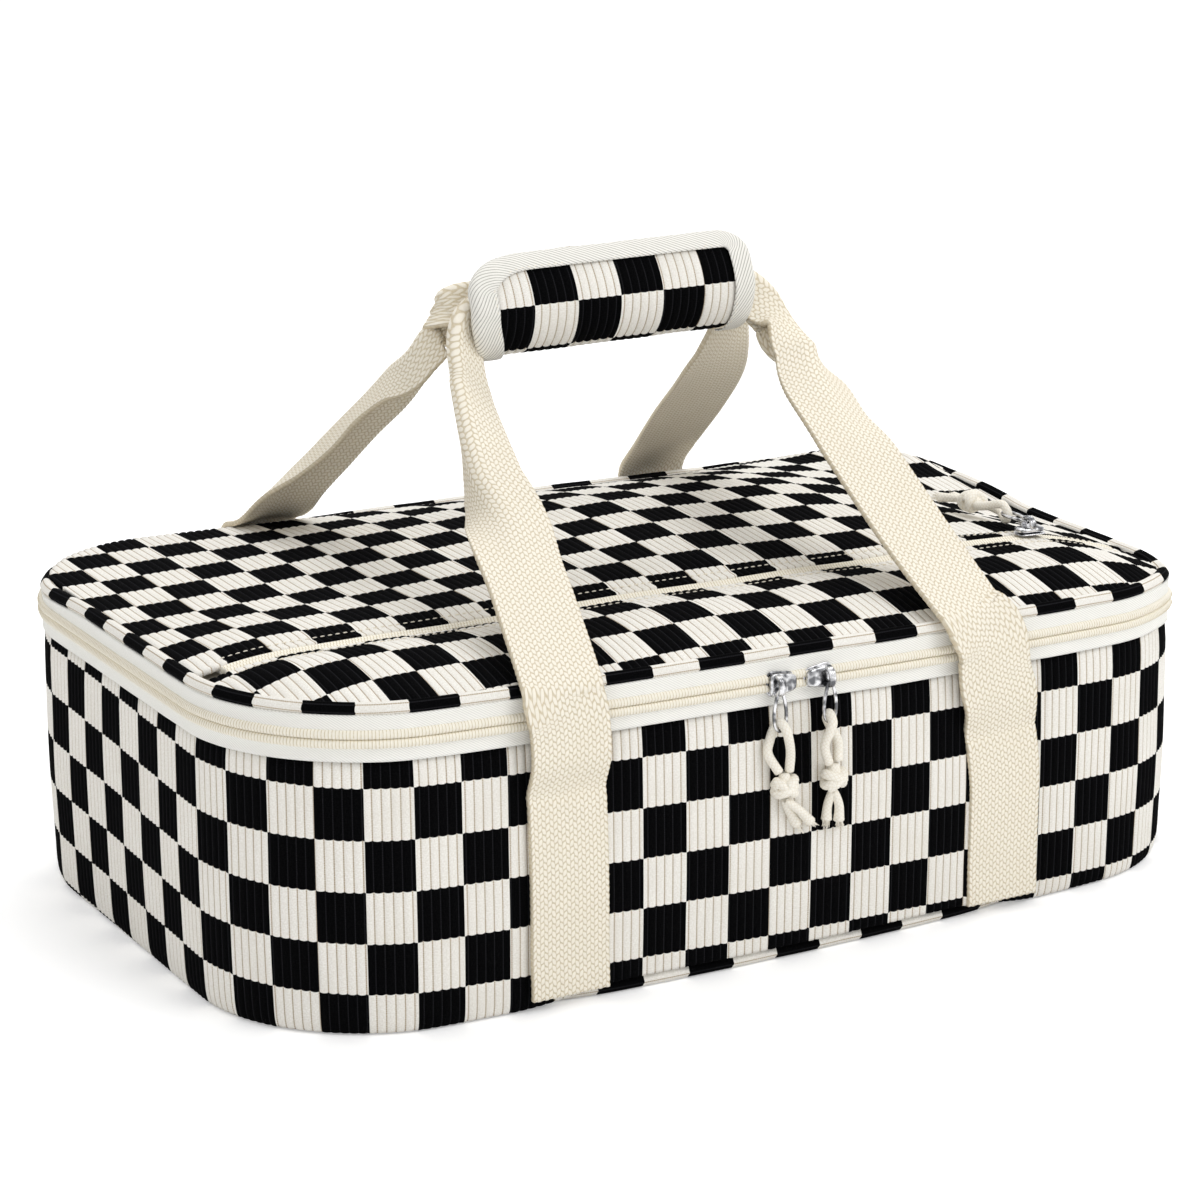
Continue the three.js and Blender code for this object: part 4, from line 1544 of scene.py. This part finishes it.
def makeBinding():
    # twill binding folded over the flap's two ends and its free edge
    low, high = wrap["ends"]
    left, right = wrap["corners"]
    top = wrap["free"]
    edge = [(flapEnds(q, 0)[0], q) for q in spread(0, top - left[1], 30)[:-1]]
    edge += flapCorner(low + left[0], left, spread(180, 90, 22))
    edge += [(x, top) for x in spread(low + left[0], high - right[0], 84)[1:-1]]
    edge += flapCorner(high - right[0], right, spread(90, 0, 16))
    edge += [(high, q) for q in spread(top - right[1], 0, 40)[1:]]
    border = []
    for i, (x, q) in enumerate(edge):
        (ax, aq), (bx, bq) = edge[max(i - 1, 0)], edge[min(i + 1, len(edge) - 1)]
        size = math.hypot(bx - ax, bq - aq)
        border.append(((x, q), ((bq - aq) / size, (ax - bx) / size)))
    run = runAlong([Vector(spot) for spot in edge])
    thick = wrap["padding"] / 2 + 0.5
    wide = wrap["binding"]
    turn = math.pi * thick
    section = []
    for long in spread(0, 2 * wide + turn - 2 * thick, 26):
        flat = wide - thick
        if long < flat:
            section.append((wide - long, thick, long))
        elif long < flat + turn:
            angle = (long - flat) / thick
            section.append((thick - thick * math.sin(angle), thick * math.cos(angle), long))
        else:
            section.append((thick + long - flat - turn, -thick, long))

    def puff(x, q):
        return 0.8 * flapOut(clamp(x, low, high), clamp(q, 0, top))

    def place(station, across):
        (x, q), heading = border[int(station)]
        inward, lift, _ = section[int(across)]
        px, pq = x + heading[0] * inward, q + heading[1] * inward
        mid = -wrap["padding"] / 2 + 0.4 + puff(px, pq)
        wave = 0.22 * ripple(run[int(station)], inward, 2, 6)
        y, z = rollAt(max(pq, 0.02), mid + lift + wave)
        return px, y, z

    def weave(station, across):
        return run[int(station)], section[int(across)][2]

    bm = clothGrid(list(range(len(border))), list(range(len(section))), place, weave, True)
    piece = makePiece("wrapBinding", bm, bindFinish, "wrap_flap", ["wrap_flap_binding"])
    thicken(piece, 0.5)
    inward = wide - wrap["stitchIn"]
    line = []
    for (x, q), heading in border:
        px, pq = x + heading[0] * inward, q + heading[1] * inward
        line.append(Vector((px, *rollAt(max(pq, 0.02), wrap["stitchOut"] + puff(px, pq)))))
    sewn = stitches([line], pitch=2.9, length=2.0, thick=0.5)
    makePiece("wrapStitches", sewn, threadFinish, "wrap_flap")


makeWrapFlap()
makeBinding()
makeWrapBack()
makeWrapLining()
for node, finish in (("wrap_hook_tape", hookFinish), ("wrap_loop_tape", loopFinish)):
    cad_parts[node].data.materials.clear()
    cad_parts[node].data.materials.append(finish)
print("grip wrap sewn")


# Zip sliders

slider = {
    "body": ((5.7, 4.7, 1.2), 2.6),  # half sizes, and the middle's height over the coil
    "flange": ((6.1, 5.3, 0.5), 0.9),
    "taper": 0.34,
    "roundness": 0.45,  # lower is squarer
    "bridge": 8.0,
    "bridgeReach": 3.3,
    "band": 0.75,  # half width of the bridge
    "wire": 1.5,
    "stem": (-1.6, 0.45),  # through the coil: its lower end and its radius
    "keel": (-1.9, 4.0, 0.55),  # behind the tape: its height, half length and radius
}


def softBlock(place, half, middle, lean):
    # a plate with rounded sides, narrower towards the end where the zip is closed
    bm = bmesh.new()
    bmesh.ops.create_uvsphere(bm, u_segments=40, v_segments=20, radius=1)
    for vert in bm.verts:
        x, y, z = (math.copysign(abs(c) ** slider["roundness"], c) for c in vert.co)
        narrow = 1 - slider["taper"] * (x * lean + 1) / 2
        vert.co = place((half[0] * x, half[1] * y * narrow, middle + half[2] * z * (1 - 0.25 * y * y))) * mm
    bmesh.ops.recalc_face_normals(bm, faces=bm.faces)
    return bm


def makeSlider(side):
    place, lean = sliderPlaces[side]
    parts = [softBlock(place, *slider["body"], lean), softBlock(place, *slider["flange"], lean)]
    x, top, reach = pull["aside"][side][0], slider["body"][1] + 0.6, slider["bridgeReach"]
    for offset in (-slider["band"], 0.0, slider["band"]):  # the bridge is a band, a little domed
        arch = []
        for angle in spread(0, 180, 20):
            turn = math.radians(angle)
            rise = (slider["bridge"] - slider["wire"] / 2 - top) * math.sin(turn) ** 0.55
            arch.append(place((x + offset, reach * math.cos(turn), top + rise - abs(offset) * 0.2)))
        parts.append(tube(arch, slider["wire"] / 2, 10))
    low, thick = slider["stem"]
    parts.append(tube([place((0, 0, z)) for z in spread(low, slider["body"][1], 4)], thick, 8))
    low, half, thick = slider["keel"]
    parts.append(tube([place((along, 0, low)) for along in spread(-half, half, 6)], thick, 8))
    body = side + "_slider"
    makePiece(side + "Slider", joinMesh(parts), metalFinish, body, [body])


for side in sliderPlaces:
    makeSlider(side)
print("sliders made")


# Floor and studio light

studio = {
    "ambient": 0.68,
    "lamps": [
        ("keyLamp", (0.9, -1.8, 2.0), 1.5, 21.0),
        ("fillLamp", (-2.0, -1.2, 1.2), 1.8, 2.0),
        ("backLamp", (0.5, 1.0, 2.4), 1.6, 19.0),
    ],
    "floor": tone(252, 252, 252),
    "paper": 0.3,  # what the white paper gives the camera beyond the light on it
    "half": 12.0,
    "under": 0.0004,
    "aim": (0, 0, 0.1),
}


def makeStudio():
    bm = bmesh.new()
    bmesh.ops.create_grid(bm, x_segments=1, y_segments=1, size=studio["half"])
    mesh = bpy.data.meshes.new("studioFloor")
    bm.to_mesh(mesh)
    bm.free()
    ground = bpy.data.objects.new("studioFloor", mesh)
    ground.location.z = -studio["under"]
    bpy.context.collection.objects.link(ground)
    paint = Finish("palePaper", Roughness=1.0, Specular_IOR_Level=0.0)
    paint.shader.inputs["Base Color"].default_value = studio["floor"]
    paint.shader.inputs["Emission Strength"].default_value = 1.0
    direct = paint.add("ShaderNodeLightPath", {}, {}, "Is Camera Ray")
    mirrored = paint.add("ShaderNodeLightPath", {}, {}, "Is Glossy Ray")
    glow = direct.maths("MAXIMUM", mirrored) * studio["paper"]
    paint.tree.links.new(glow.socket, paint.shader.inputs["Emission Color"])
    mesh.materials.append(paint.material)

    world = bpy.data.worlds.new("studio")
    bpy.context.scene.world = world
    world.use_nodes = True
    tree = world.node_tree
    back = tree.nodes["Background"]
    back.inputs["Color"].default_value = (1, 1, 1, 1)
    rays = tree.nodes.new("ShaderNodeLightPath")
    seen = tree.nodes.new("ShaderNodeMath")
    seen.operation = "MAXIMUM"
    tree.links.new(rays.outputs["Is Camera Ray"], seen.inputs[0])
    tree.links.new(rays.outputs["Is Glossy Ray"], seen.inputs[1])
    level = tree.nodes.new("ShaderNodeMapRange")
    level.inputs["To Min"].default_value = studio["ambient"]
    level.inputs["To Max"].default_value = 1.0
    tree.links.new(seen.outputs[0], level.inputs["Value"])
    tree.links.new(level.outputs[0], back.inputs["Strength"])

    for name, spot, size, power in studio["lamps"]:
        data = bpy.data.lights.new(name, "AREA")
        data.shape = "DISK"
        data.size = size
        data.energy = power
        lamp = bpy.data.objects.new(name, data)
        lamp.location = spot
        aim = Vector(studio["aim"]) - lamp.location
        lamp.rotation_mode = "QUATERNION"
        lamp.rotation_quaternion = aim.to_track_quat("-Z", "Y")
        bpy.context.collection.objects.link(lamp)


makeStudio()
bpy.context.scene.view_settings.view_transform = "Standard"
print("studio lit")
